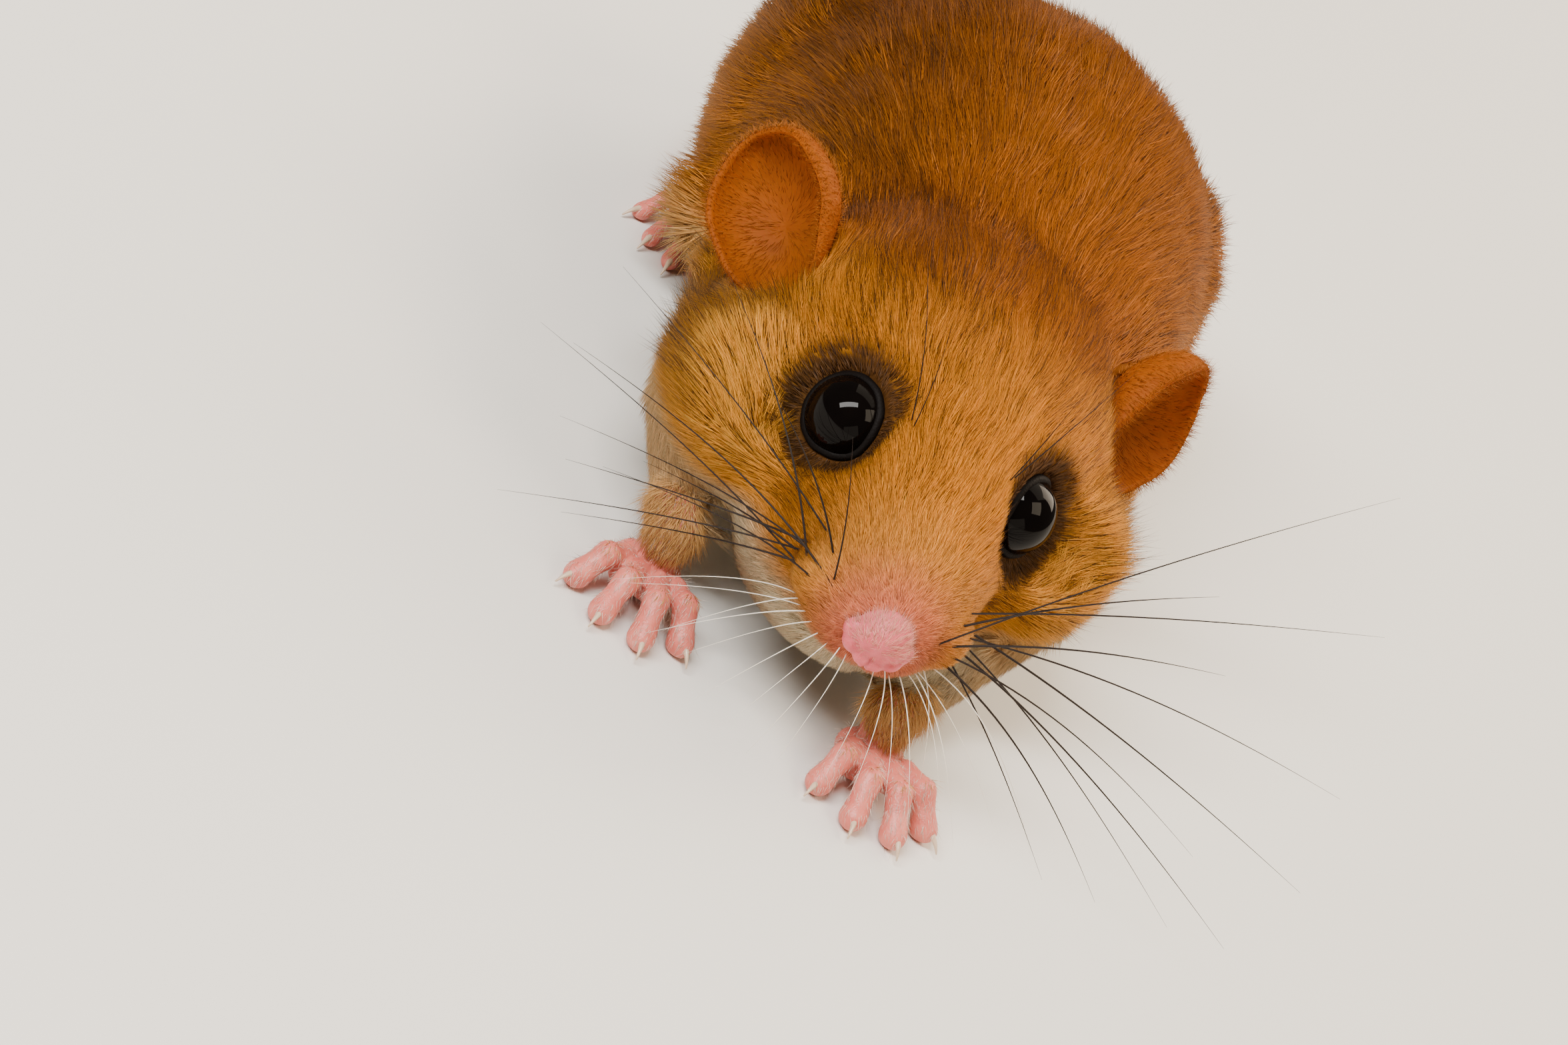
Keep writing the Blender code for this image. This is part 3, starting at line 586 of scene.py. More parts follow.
@dataclass(frozen=True)
class Markings:
    """Colours of the coat by place, shared by the skin and the fur."""

    place: Place
    gold: str = "D68920"
    cheek: str = "DE9A34"
    crown: str = "A2580C"
    snout: str = "DE963C"
    pink: str = "E07A60"
    cream: str = "EBD8B4"
    eye_ring: str = "2A1A0E"
    back: str = "A8620F"
    flank: str = "C47C1C"
    belly: str = "E2BA7A"
    tail_end: str = "80490F"
    paw_hair: str = "E6CDB4"
    guard: str = "2E1B10"

    def colour(self, points: Array) -> Array:
        """Colour of the coat's tips at each place, with painted shade near the floor and painted light up
        high.

        Args:
            points: N by 3 places on the floor frame.

        Returns:
            N by 3 linear colours.
        """
        head = self.place.to_head(points)
        x, y, z = np.abs(head[:, 0]), head[:, 1], head[:, 2]
        # Height share for painted shade near the floor and painted light up high
        rise = ramp(points[:, 2], 3.0, 21.0)
        body = self.blend(linear(self.flank), linear(self.back), ramp(points[:, 2], 11, 24))
        body = self.blend(body, linear(self.belly), ramp(points[:, 2], 8.5, 3.5))
        face = np.tile(linear(self.gold), (len(points), 1))
        face = self.blend(face, linear(self.cheek), ramp(x, 4, 10) * ramp(z, 2, -3))
        top = z + 0.5 * np.clip(y - 4, 0, 14)
        face = self.blend(face, linear(self.crown), 0.8 * ramp(top, 2.5, 7.5) * ramp(y, -1, 8))
        face = self.blend(face, linear(self.snout), ramp(y, -4, -9))
        face = self.blend(face, linear(self.cream), ramp(z, -6.3, -8.6) * (1 - 0.45 * ramp(x, 7, 11)))
        nose_gap = np.linalg.norm((head - NOSE_PAD) * (1, 0.8, 1), axis=1)
        face = self.blend(face, linear(self.pink), 0.88 * ramp(nose_gap, 5.4, 1.9))
        for _, side in SIDES:
            ring = 0.92 * ramp(eye_gap(head, side), 2.15, 0.75)
            face = self.blend(face, linear(self.eye_ring), ring)
        colour = self.blend(face, body, ramp(y, 13, 22))
        behind = points[:, 1] - TAIL_ROOT[1]
        tail = np.tile(linear(self.flank), (len(points), 1))
        tail = self.blend(tail, linear(self.back), ramp(points[:, 2], 2, 5))
        tail = self.blend(tail, linear(self.tail_end), 0.7 * ramp(behind, 30, 58))
        colour = self.blend(colour, tail, ramp(behind, -1, 5))
        paw = (behind < 0) & (points[:, 2] < 3.4) & (x > 3)
        share = np.where(paw, 0.7 * ramp(points[:, 2], 3.4, 2.0), 0)
        colour = self.blend(colour, linear(self.paw_hair), share)
        # Painted shade low down and painted light on top: darker near the floor, lighter higher up
        return colour * (0.93 + 0.12 * rise)[:, None]

    @staticmethod
    def blend(low: Array, high: Array, share: Array) -> Array:
        """Mix two colours by a share at each place."""
        return low + (high - low) * share[:, None]


@dataclass(frozen=True)
class Lie:
    """Which way the coat lies, how long and dense it is, at each place."""

    place: Place
    tail: Tail
    tail_points: Array = field(repr=False)

    def tail_frame(self, points: Array) -> tuple[Array, Array]:
        """The tail's way and share of its length nearest to each place.

        Args:
            points: N by 3 places.

        Returns:
            The ways and the shares.
        """
        line = self.tail_points
        nearest = np.empty(len(points), int)
        for start in range(0, len(points), 20000):
            chunk = points[start:start + 20000]
            nearest[start:start + 20000] = ((chunk[:, None] - line[None]) ** 2).sum(-1).argmin(1)
        ways = unit(np.gradient(line, axis=0))
        return ways[nearest], nearest / (len(line) - 1)

    def limb(self, points: Array, start: Array, end: Array, near: float, far: float) -> Array:
        """How much each place belongs to the limb from start to end.

        Args:
            points: N by 3 places.
            start: One end of the limb.
            end: Its other end.
            near: Distance up to which a place is all the limb's.
            far: Distance past which it isn't the limb's.

        Returns:
            Shares from 0 to 1.
        """
        way = end - start
        t = np.clip((points - start) @ way / (way @ way), 0, 1)
        gap = np.linalg.norm(points - start - t[:, None] * way, axis=1)
        return ramp(gap, far, near)

    def way(self, points: Array, normals: Array) -> Array:
        """The way the hair lies along the skin.

        Args:
            points: Roots on the floor frame.
            normals: The skin's outward way there.

        Returns:
            Unit ways in the skin's plane.
        """
        head = self.place.to_head(points)
        flow = unit(head - (NOSE_PAD + (0, -0.4, 0.7)))
        flow[:, 1] += 0.25
        for _, side in SIDES:
            for centre, radius, reach, strength in (
                (EYE_CENTRE, EYE_RADIUS, 2.6, 1.25),
                (EAR_CENTRE, 4.6, 4.0, 1.1),
            ):
                away = head - mirrored(centre, side)
                gap = np.linalg.norm(away, axis=1)
                away = away / gap[:, None]
                into = np.minimum((flow * away).sum(1), 0.15)
                flow = flow - away * (strength * into * ramp(gap - radius, reach, 0.2))[:, None]
            away = head - mirrored(EYE_CENTRE + EYE_AXIS * 0.9, side)
            near = ramp(eye_gap(head, side), 2.2, 0.7)[:, None]
            flow = flow * (1 - near) + unit(away) * near
        flow = self.place.turned(flow)
        body = np.tile(np.array((0.0, 1.0, 0.0)), (len(points), 1))
        body[:, 2] = -0.15 - 0.55 * np.abs(normals[:, 0])
        share = ramp(head[:, 1], 12, 20)[:, None]
        flow = flow * (1 - share) + body * share
        for name, side in SIDES:
            wrist = WRISTS[name][0]
            elbow = mirrored(ELBOW, side)
            weight = self.limb(points, elbow, wrist, 2.4, 4.5)[:, None]
            flow = flow * (1 - weight) + unit(wrist - elbow) * weight
            ankle = mirrored(ANKLE, side) + (0, 0.5, -3)
            weight = self.limb(points, mirrored(ANKLE, side) + (0, 0, 2), ankle, 2.4, 5.0)[:, None]
            flow = flow * (1 - weight) + np.array((0, -0.1, -1.0)) * weight
        tail_way, _ = self.tail_frame(points)
        weight = ramp(points[:, 1], TAIL_ROOT[1] - 2, TAIL_ROOT[1] + 3)[:, None]
        flow = flow * (1 - weight) + tail_way * weight
        flow = flow - normals * (flow * normals).sum(1)[:, None]
        return unit(flow)

    def length(self, points: Array) -> Array:
        """Length of the hair at each place, in millimetres.

        Args:
            points: N by 3 places on the floor frame.

        Returns:
            The lengths.
        """
        head = self.place.to_head(points)
        x, y, z = np.abs(head[:, 0]), head[:, 1], head[:, 2]
        length = np.interp(y, *HAIR_LENGTH)
        length += 1.3 * ramp(x, 5, 11) * ramp(z, 1, -4) * ramp(y, -4, 4) * ramp(y, 20, 12)
        for _, side in SIDES:
            length = length * (0.36 + 0.64 * ramp(eye_gap(head, side), 0.4, 3.2))
            gap = np.linalg.norm(head - mirrored(EAR_CENTRE, side), axis=1) - 4.4
            length = length * (0.5 + 0.5 * ramp(gap, 0.0, 3.0))
        low = ramp(points[:, 2], 8.5, 2.5) * ramp(y, 0, 8)
        length = length * (1 - 0.5 * low)
        for name, side in SIDES:
            wrist, elbow = WRISTS[name][0], mirrored(ELBOW, side)
            weight = self.limb(points, elbow, wrist, 2.2, 4.2)
            along = np.linalg.norm(points - wrist, axis=1)
            length = length * (1 - weight) + weight * np.interp(along, (0, 3, 9), (0.8, 1.3, 2.6))
            ankle = mirrored(ANKLE, side) + (0, 0.5, -3)
            weight = self.limb(points, mirrored(ANKLE, side), ankle, 2.2, 4.4)
            length = length * (1 - weight) + weight * 1.4
        _, share = self.tail_frame(points)
        tail = np.interp(share, *TAIL_HAIR_LENGTH)
        weight = ramp(points[:, 1], TAIL_ROOT[1] - 1, TAIL_ROOT[1] + 4)
        return length * (1 - weight) + tail * weight

    def density(self, points: Array) -> Array:
        """Tufts in a square millimetre of skin at each place.

        Args:
            points: N by 3 places on the floor frame.

        Returns:
            The densities.
        """
        head = self.place.to_head(points)
        density = np.interp(head[:, 1], *HAIR_DENSITY)
        density = density * (1 - 0.45 * ramp(points[:, 2], 6, 3) * ramp(head[:, 1], 14, 20))
        limbs = np.zeros(len(points))
        for name, side in SIDES:
            wrist, elbow = WRISTS[name][0], mirrored(ELBOW, side)
            limbs = np.maximum(limbs, self.limb(points, elbow, wrist, 2.4, 4.5))
            ankle = mirrored(ANKLE, side)
            limbs = np.maximum(limbs, self.limb(points, ankle, ankle - (0, 0, 3), 2.4, 4.5))
        density = density + limbs * 14
        weight = ramp(points[:, 1], TAIL_ROOT[1] - 1, TAIL_ROOT[1] + 4)
        return density * (1 - weight) + TAIL_HAIR_DENSITY * weight


@dataclass
class Roots:
    """Places where tufts grow."""

    points: Array
    normals: Array
    uvs: Array

    def only(self, keep: Array) -> "Roots":
        """The roots that a mask or an index keeps."""
        return Roots(self.points[keep], self.normals[keep], self.uvs[keep])


@dataclass
class Surface:
    """A skin as arrays, ready to be planted."""

    points: Array
    normals: Array
    triangles: Array
    uvs: Array

    @classmethod
    def of(cls, item: bpy.types.Object) -> "Surface":
        """Read a mesh of triangles that has been unwrapped.

        Args:
            item: The object.

        Returns:
            Its surface.
        """
        mesh = item.data
        corners = np.empty(len(mesh.loops), np.int32)
        mesh.loops.foreach_get("vertex_index", corners)
        uvs = np.empty(len(mesh.loops) * 2, np.float32)
        mesh.uv_layers.active.data.foreach_get("uv", uvs)
        uvs = uvs.reshape(-1, 3, 2).astype(float)
        return cls(points_of(item), normals_of(item), corners.reshape(-1, 3), uvs)

    def scatter(self, density: Callable[[Array], Array], draw: np.random.Generator) -> Roots:
        """Spread roots over the skin.

        Args:
            density: Roots in a square millimetre by place.
            draw: Seeded random numbers.

        Returns:
            The roots.
        """
        corners = self.points[self.triangles]
        first_edge, last_edge = corners[:, 1] - corners[:, 0], corners[:, 2] - corners[:, 0]
        areas = np.linalg.norm(np.cross(first_edge, last_edge), axis=1) / 2
        wanted = areas * density(corners.mean(1))
        counts = np.floor(wanted + draw.random(len(wanted))).astype(int)
        owner = np.repeat(np.arange(len(counts)), counts)
        first, second = np.sqrt(draw.random(len(owner))), draw.random(len(owner))
        shares = np.stack((1 - first, first * (1 - second), first * second), axis=1)
        mixed = [
            (values[owner] * shares[:, :, None]).sum(1)
            for values in (corners, self.normals[self.triangles], self.uvs)
        ]
        return Roots(mixed[0], unit(mixed[1]), mixed[2])

    def raised(self, spots: Array, least: Array) -> Array:
        """Bring places out of the skin.

        Args:
            spots: N by 3 places.
            least: How high each must stand over the skin at the least.

        Returns:
            The places, moved where they stood too low.
        """
        tree = BVHTree.FromPolygons(self.points.tolist(), self.triangles.tolist())
        raised = spots.copy()
        for index, (spot, wanted) in enumerate(zip(spots.tolist(), least.tolist())):
            near, normal, _, _ = tree.find_nearest(spot)
            height = (Vector(spot) - near).dot(normal)
            if height < wanted:
                raised[index] += np.array(normal) * (wanted - height)
        return raised


class TuftShape(Enum):
    """The faces of one tuft, outward, and the place of its corners in its patch."""

    BENT = (
        (
            (0, 2, 1), (0, 1, 4), (0, 4, 3), (1, 2, 5), (1, 5, 4),
            (2, 0, 3), (2, 3, 5), (3, 4, 6), (4, 5, 6), (5, 3, 6),
        ),
        ((-0.5, 0.0), (0.5, 0.0), (0.0, 0.0), (-0.5, 0.5), (0.5, 0.5), (0.0, 0.5), (0.0, 1.0)),
    )
    SPIKE = (
        ((0, 2, 1), (0, 1, 3), (1, 2, 3), (2, 0, 3)),
        ((-0.5, 0.0), (0.5, 0.0), (0.0, 0.0), (0.0, 1.0)),
    )


@dataclass
class Tufts:
    """Tapered tufts of hair as arrays, closed all round."""

    roots: Roots
    ways: Array
    lengths: Array
    widths: Array
    lifts: Array
    colours: Array
    sink: float = 0.05
    settle: float = 0.35
    patch: float = 0.003

    def spine(self) -> tuple[Array, Array]:
        """The middle and end of each tuft.

        Returns:
            The middles and the ends.
        """
        normals, lengths = self.roots.normals, self.lengths[:, None]
        rise = self.ways * np.cos(self.lifts)[:, None] + normals * np.sin(self.lifts)[:, None]
        later = self.lifts * self.settle
        level = self.ways * np.cos(later)[:, None] + normals * np.sin(later)[:, None]
        middle = self.roots.points + rise * lengths * 0.5
        return middle, middle + level * lengths * 0.5

    def object(
        self, name: str, middle: Array, end: Array, shape: TuftShape = TuftShape.BENT
    ) -> bpy.types.Object:
        """The tufts as one mesh, with colours and a patch of the skin's unwrap each.

        Args:
            name: The piece's name.
            middle: Where each tuft bends.
            end: Where each tuft ends.
            shape: How finely each is modelled.

        Returns:
            The object.
        """
        count = len(self.lengths)
        base = self.roots.points - self.roots.normals * self.sink
        side = unit(np.cross(self.ways, self.roots.normals))
        widths = self.widths[:, None]
        up = self.roots.normals
        corners = [base + side * widths * 0.42, base - side * widths * 0.42, base + up * widths * 0.45]
        colours = [self.colours[:, 0]] * 3
        if shape is TuftShape.BENT:
            half = side * widths * 0.46
            corners += [middle + half, middle - half, middle + up * widths * 0.42]
            colours += [self.colours[:, 1]] * 3
        points = np.stack((*corners, end), axis=1)
        size = points.shape[1]
        points[:, :, 2] = np.maximum(points[:, :, 2], 0.03 + 0.02 * np.arange(size)[None] / size)
        plan, spots = (np.array(part) for part in shape.value)
        faces = plan[None] + (np.arange(count) * size)[:, None, None]
        item = mesh_object(name, points.reshape(-1, 3), faces.reshape(-1, 3))
        paint(item, np.stack((*colours, self.colours[:, 2]), axis=1).reshape(-1, 3))
        corners = np.tile(spots[plan].reshape(1, -1, 2), (count, 1, 1)) - (0, 0.5)
        uv = self.roots.uvs[:, None] + corners * self.patch
        layer = item.data.uv_layers.new(name="OFBake")
        layer.data.foreach_set("uv", np.clip(uv, 0, 1).astype(np.float32).ravel())
        return item


@dataclass(frozen=True)
class CoatFinish:
    """Soft underfur and guard hairs of keratin, brushed along the body."""

    name: str = "golden_dormouse_fur"
    roughness: float = 0.6
    specular: float = 0.14

    def material(self) -> bpy.types.Material:
        """Hair coloured tuft by tuft, with a broad soft gloss.

        Returns:
            The material.
        """
        material, tree, shader = new_material(self.name)
        attribute = add_node(tree, "ShaderNodeAttribute", attribute_name="CoatColour")
        feed(tree, shader, {
            "Base Color": attribute.outputs["Color"],
            "Roughness": self.roughness,
            "Specular IOR Level": self.specular,
        })
        return material


@dataclass(frozen=True)
class LiveSkinFinish:
    """Living skin: mottled with blood, finely creased, a little moist."""

    name: str
    pale: str
    deep: str
    roughness: float = 0.42
    mottle_mm: float = 1.4
    crease_mm: float = 0.22
    crease_depth_mm: float = 0.05
    subsurface: float = 0.35
    attribute_share: float = 0.0
    specular: float = 0.5
    thin: str = ""

    def material(self) -> bpy.types.Material:
        """Two tones in soft blotches, with fine creases.

        Returns:
            The material.
        """
        material, tree, shader = new_material(self.name)
        colour = two_tones(tree, (self.pale, self.deep), self.mottle_mm, 3.0)
        if self.attribute_share:
            attribute = add_node(tree, "ShaderNodeAttribute", attribute_name="CoatColour")
            mixed = add_node(
                tree, "ShaderNodeMix", {"Factor": self.attribute_share}, data_type="RGBA"
            )
            tree.links.new(colour, mixed.inputs["A"])
            tree.links.new(attribute.outputs["Color"], mixed.inputs["B"])
            colour = mixed.outputs["Result"]
        where = add_node(tree, "ShaderNodeTexCoord").outputs["Object"]
        cells = add_node(
            tree, "ShaderNodeTexVoronoi",
            {"Vector": where, "Scale": 1 / (self.crease_mm * MM)}, feature="DISTANCE_TO_EDGE",
        )
        bump = add_node(tree, "ShaderNodeBump", {
            "Height": cells.outputs["Distance"], "Strength": 0.6, "Distance": self.crease_depth_mm * MM,
        })
        feed(tree, shader, {
            "Base Color": colour,
            "Normal": bump.outputs["Normal"],
            "Roughness": self.roughness,
            "Specular IOR Level": self.specular,
            "Subsurface Weight": self.subsurface,
            "Subsurface Radius": (1.0, 0.35, 0.2),
            "Subsurface Scale": 0.6 * MM,
        })
        if self.thin:
            through = add_node(tree, "ShaderNodeBsdfTranslucent", {"Color": (*linear(self.thin), 1)})
            both = add_node(tree, "ShaderNodeMixShader", {"Fac": 0.4})
            tree.links.new(shader.outputs["BSDF"], both.inputs[1])
            tree.links.new(through.outputs["BSDF"], both.inputs[2])
            feed(tree, tree.nodes["Material Output"], {"Surface": both.outputs["Shader"]})
        return material


@dataclass(frozen=True)
class PlainFinish:
    """A smooth natural surface with a slight change of tone."""

    name: str
    colour: str
    other: str
    roughness: float
    grain_mm: float
    ior: float = 1.5
    specular: float = 0.5

    def material(self) -> bpy.types.Material:
        """A tone that wanders slowly between two colours.

        Returns:
            The material.
        """
        material, tree, shader = new_material(self.name)
        feed(tree, shader, {
            "Base Color": two_tones(tree, (self.colour, self.other), self.grain_mm, 2.0),
            "Roughness": self.roughness,
            "IOR": self.ior,
            "Specular IOR Level": self.specular,
        })
        return material


# The wet cornea over a very dark iris: a mirror-like black
CORNEA = PlainFinish("wet_black_eye", "040303", "090605", 0.03, 1.5, ior=1.38, specular=0.14)
# Thin pigmented skin at the edge of the lids, always a little moist
LID_SKIN = LiveSkinFinish("black_lid_skin", "070505", "100B09", roughness=0.6, subsurface=0.0, specular=0.08)
# Bare moist skin of the nose, pink with blood
NOSE_SKIN = LiveSkinFinish(
    "moist_pink_nose", "E07078", "BA4450", roughness=0.38, mottle_mm=0.8, crease_mm=0.13, specular=0.35
)
# Bare skin of toes and pads, redder in the creases
PAW_SKIN = LiveSkinFinish("bare_paw_skin", "E58C7C", "BE4A40", roughness=0.42, mottle_mm=1.1, crease_mm=0.2)
# Thin warm skin of the ear, light shining through it
EAR_SKIN = LiveSkinFinish(
    "thin_ear_skin", "B66210", "7A3E08", roughness=0.6, mottle_mm=2.2, crease_mm=0.3,
    subsurface=0.1, specular=0.14, thin="F09838",
)
# The hide under the fur, close to the fur's own colour; painted darker, partly as the undercoat and partly as
# painted shade deep in the coat
HIDE = LiveSkinFinish(
    "hide_under_fur", "7A4A20", "52300F", roughness=0.8, crease_depth_mm=0.03,
    attribute_share=0.92, subsurface=0.0, specular=0.08,
)
# Horn of the claws: pale and translucent
CLAW_HORN = PlainFinish("claw_horn", "D9C2A8", "B99A7E", 0.28, 0.6)
# Whisker shafts: stiff smooth keratin, dark above and white below
DARK_WHISKER = PlainFinish("dark_whisker_keratin", "140D0A", "221610", 0.5, 4.0, specular=0.2)
WHITE_WHISKER = PlainFinish("white_whisker_keratin", "F3EEE4", "DCD2C2", 0.3, 4.0)


@dataclass
class Skin:
    """One skin under the coat, from the nose to the tip of the tail."""

    place: Place
    tail_points: Array
    tail: Tail
    voxel: float = 0.32
    swell: float = 0.33
    tail_share: float = 0.40

    def depth(self, points: Array) -> Array:
        """How far the skin lies inside the coat's outer surface.

        Args:
            points: N by 3 places on the floor frame.

        Returns:
            Depths in millimetres.
        """
        head = self.place.to_head(points)
        depth = np.interp(head[:, 1], *COAT_DEPTH)
        thin = ramp(points[:, 2], 7.0, 3.0) * ramp(head[:, 1], -4, 2)
        depth = depth * (1 - thin) + 0.45 * thin
        depth = depth + 0.62 * ramp(np.linalg.norm((head - NOSE_PAD) * (0.8, 1, 1), axis=1), 2.5, 1.3)
        for _, side in SIDES:
            depth = depth * (0.25 + 0.75 * ramp(eye_gap(head, side), 0.6, 3.5))
        return depth * ramp(points[:, 1], TAIL_ROOT[1] + 2.5, TAIL_ROOT[1] - 2)

    def cad_copy(self, node: bpy.types.Object) -> tuple[Array, Array]:
        """A node's surface on the floor frame, merged and swollen over the gaps.

        Args:
            node: The CAD node.

        Returns:
            Points and triangles.
        """
        bm = bmesh.new()
        bm.from_mesh(node.data)
        bmesh.ops.remove_doubles(bm, verts=bm.verts, dist=2e-6)
        bmesh.ops.recalc_face_normals(bm, faces=bm.faces)
        bm.normal_update()
        points = np.array([vertex.co for vertex in bm.verts]) / MM - self.place.shift
        normals = np.array([vertex.normal for vertex in bm.verts])
        bmesh.ops.triangulate(bm, faces=bm.faces)
        faces = np.array([[vertex.index for vertex in face.verts] for face in bm.faces])
        bm.free()
        return points + normals * self.swell, faces

    def build(self, nodes: dict[str, bpy.types.Object]) -> bpy.types.Object:
        """Fuse the flesh, shrink it under the coat and shape the face.

        Args:
            nodes: The CAD nodes by name.

        Returns:
            The skin, in triangles, unwrapped.
        """
        parts = [self.cad_copy(nodes[name]) for name in FLESH]
        shares = np.linspace(0, 1, len(self.tail_points))
        radii = np.array([self.tail.radius(share) for share in shares]) * self.tail_share
        radii = np.maximum(radii, 0.35) + 1.4 * ramp(shares, 0.16, 0.0)
        parts.append(tube_arrays(self.tail_points, radii, 20))
        centres = [self.place.from_head(mirrored(PAD_CENTRE, side)) for _, side in SIDES]
        parts.append(ball_arrays(np.array(centres), np.tile(PAD_RADII + 0.3, (2, 1))))
        centres = [self.place.from_head(mirrored(EYE_CENTRE, side)) for _, side in SIDES]
        parts.append(ball_arrays(np.array(centres), np.full(2, EYE_RADIUS - 0.25)))
        skin = fused("skin", parts, self.voxel, 7)
        points = points_of(skin)
        inward = self.depth(points) + self.swell * ramp(points[:, 1], 53, 50)
        set_points(skin, points - normals_of(skin) * inward[:, None])
        self.fit_lids(skin)
        bake_modifier(skin, "SMOOTH", factor=0.5, iterations=5)
        self.fit_lids(skin)
        self.open_ears(skin)
        self.press_mouth(skin)
        edit_faces(skin)
        return skin

    def fit_lids(self, skin: bpy.types.Object) -> None:
        """Bring the skin close round the eyeballs, up to the outer edge of the lids.

        Args:
            skin: The skin.
        """
        head = self.place.to_head(points_of(skin))
        for side_name, side in SIDES:
            eye = Eye(self.place, side_name, side)
            local, aside, drawn = eye.seen(head)
            gap = np.linalg.norm(local, axis=1)
            roof = np.interp(aside, *LID_ROOF) - 0.045 * drawn * ramp(aside, 4.4, 2.8)
            front = (local[:, 2] > -0.6) & (gap < LID_ROOF[0][-1])
            sunk = front & (aside < LID_ROOF[0][0]) & (gap > EYE_RADIUS - EYE_SINK)
            local = np.where(sunk[:, None], local * ((EYE_RADIUS - EYE_SINK) / gap)[:, None], local)
            low = front & ~sunk & (aside >= LID_ROOF[0][0])
            local[:, 2] = np.where(low, np.minimum(local[:, 2], roof), local[:, 2])
            head = local @ eye.frame().T + mirrored(EYE_CENTRE, side)
        set_points(skin, self.place.from_head(head))

    def open_ears(self, skin: bpy.types.Object) -> None:
        """Sink the skin behind the ear cups.

        Args:
            skin: The skin.
        """
        points = points_of(skin)
        head = self.place.to_head(points)
        for _, side in SIDES:
            rim, height, wall = in_ear(head, side)
            floor = wall - 0.25
            inside = (rim < 0.97) & (height > floor) & (height < 3)
            head = head + np.where(inside, floor - height, 0)[:, None] * ear_axes(side)[2]
        set_points(skin, self.place.from_head(head))

    def press_mouth(self, skin: bpy.types.Object) -> None:
        """Press the mouth line and the groove under the nose, and puff the lips beside them.

        Args:
            skin: The skin.
        """
        points, normals = points_of(skin), normals_of(skin)
        head = self.place.to_head(points)
        lines = [np.array(MOUTH_GROOVE)]
        lines += [mirrored(np.array(LIP_LINE), side) for _, side in SIDES]
        gap = np.full(len(points), 9.0)
        for line in lines:
            for start, end in zip(line, line[1:]):
                way = end - start
                t = np.clip((head - start) @ way / (way @ way), 0, 1)
                gap = np.minimum(gap, np.linalg.norm(head - start - t[:, None] * way, axis=1))
        push = -0.42 * np.exp(-((gap / 0.32) ** 2)) + 0.16 * np.exp(-(((gap - 0.95) / 0.5) ** 2))
        set_points(skin, points + normals * push[:, None])


def ear_axes(side: float) -> tuple[Array, Array, Array]:
    """The ear cup's wide way, long way and opening way, in the head's frame.

    Args:
        side: 1 for the left ear, -1 for the right one.

    Returns:
        Three unit ways.
    """
    axis = EAR_AXIS
    tall = unit(EAR_LENGTH_WAY - axis * (EAR_LENGTH_WAY @ axis))
    wide = unit(np.cross(tall, axis))
    return mirrored(wide, side), mirrored(tall, side), mirrored(axis, side)


def in_ear(head: Array, side: float) -> tuple[Array, Array, Array]:
    """Where places lie in one ear cup.

    Args:
        head: N by 3 places in the head's frame.
        side: 1 for the left ear, -1 for the right one.

    Returns:
        The share of the way out to the rim, the height along the cup's axis, and the
        height of the cup's wall there.
    """
    wide, tall, axis = ear_axes(side)
    local = head - mirrored(EAR_CENTRE, side)
    rim = np.sqrt((local @ wide / EAR_HALF_WIDTH) ** 2 + (local @ tall / EAR_HALF_LENGTH) ** 2)
    return rim, local @ axis, -EAR_DEPTH * np.sqrt(np.clip(1 - rim**2, 0, 1))


def eye_gap(head: Array, side: float) -> Array:
    """How far places in the head's frame lie from one eyeball."""
    return np.linalg.norm(head - mirrored(EYE_CENTRE, side), axis=1) - EYE_RADIUS


@dataclass
class Ear:
    """One thin ear cup with a rolled front edge and folds inside."""

    place: Place
    side_name: str
    side: float
    around: int = 96
    rows: int = 20
    wall: float = 0.42

    def bowl(self, turn: Array, share: Array, inset: float) -> Array:
        """Points of the cup's outer or inner wall.

        Args:
            turn: Angle round the axis, from the outer side over the tip.
            share: Way from the bottom (0) to the rim (1).
            inset: How far inside the outer wall.

        Returns:
            Places in the head's frame.
        """
        wide, tall, axis = ear_axes(self.side)
        fold = np.maximum(0.0, -np.cos(turn + math.radians(25)))
        depth = share * np.radians(84 + 34 * fold)
        narrow = 1 - 0.16 * np.maximum(0.0, -np.sin(turn))
        wave = 1 + 0.022 * np.sin(3 * turn + 0.6) * share + 0.014 * np.sin(7 * turn) * share
        w = np.cos(turn) * np.sin(depth) * (EAR_HALF_WIDTH - inset) * narrow * wave
        t = np.sin(turn) * np.sin(depth) * (EAR_HALF_LENGTH - inset) * wave
        a = -np.cos(depth) * (EAR_DEPTH - inset)
        if inset:
            ridge = np.exp(-(((share - 0.62) / 0.10) ** 2)) * np.maximum(0, -np.cos(turn + 0.5)) ** 2
            pit = np.exp(-(((share - 0.25) / 0.22) ** 2)) * np.maximum(0, -np.sin(turn))
            a = a + 0.55 * ridge - 0.15 * pit
        out = w[..., None] * wide + t[..., None] * tall + a[..., None] * axis
        return out + mirrored(EAR_CENTRE, self.side)

    def build(self) -> bpy.types.Object:
        """The cup as one closed wall with a rounded rim.

        Returns:
            The object.
        """
        turns = np.arange(self.around) * math.tau / self.around
        shares = np.linspace(0.03, 1, self.rows)
        outer = [self.bowl(turns, np.full(self.around, share), 0.0) for share in shares]
        inner = [self.bowl(turns, np.full(self.around, share), self.wall) for share in shares[::-1]]
        rim = (outer[-1] + inner[0]) / 2
        edge = unit(outer[-1] - outer[-2]) * self.wall * 0.45
        rings = np.array(outer + [rim + edge] + inner)
        points, faces = capped(rings, np.array([outer[0].mean(0), inner[-1].mean(0)]))
        if self.side < 0:
            faces = faces[:, ::-1]
        item = mesh_object(f"ear_cup_{self.side_name}", self.place.from_head(points), faces)
        edit_faces(item, outward=True)
        return item


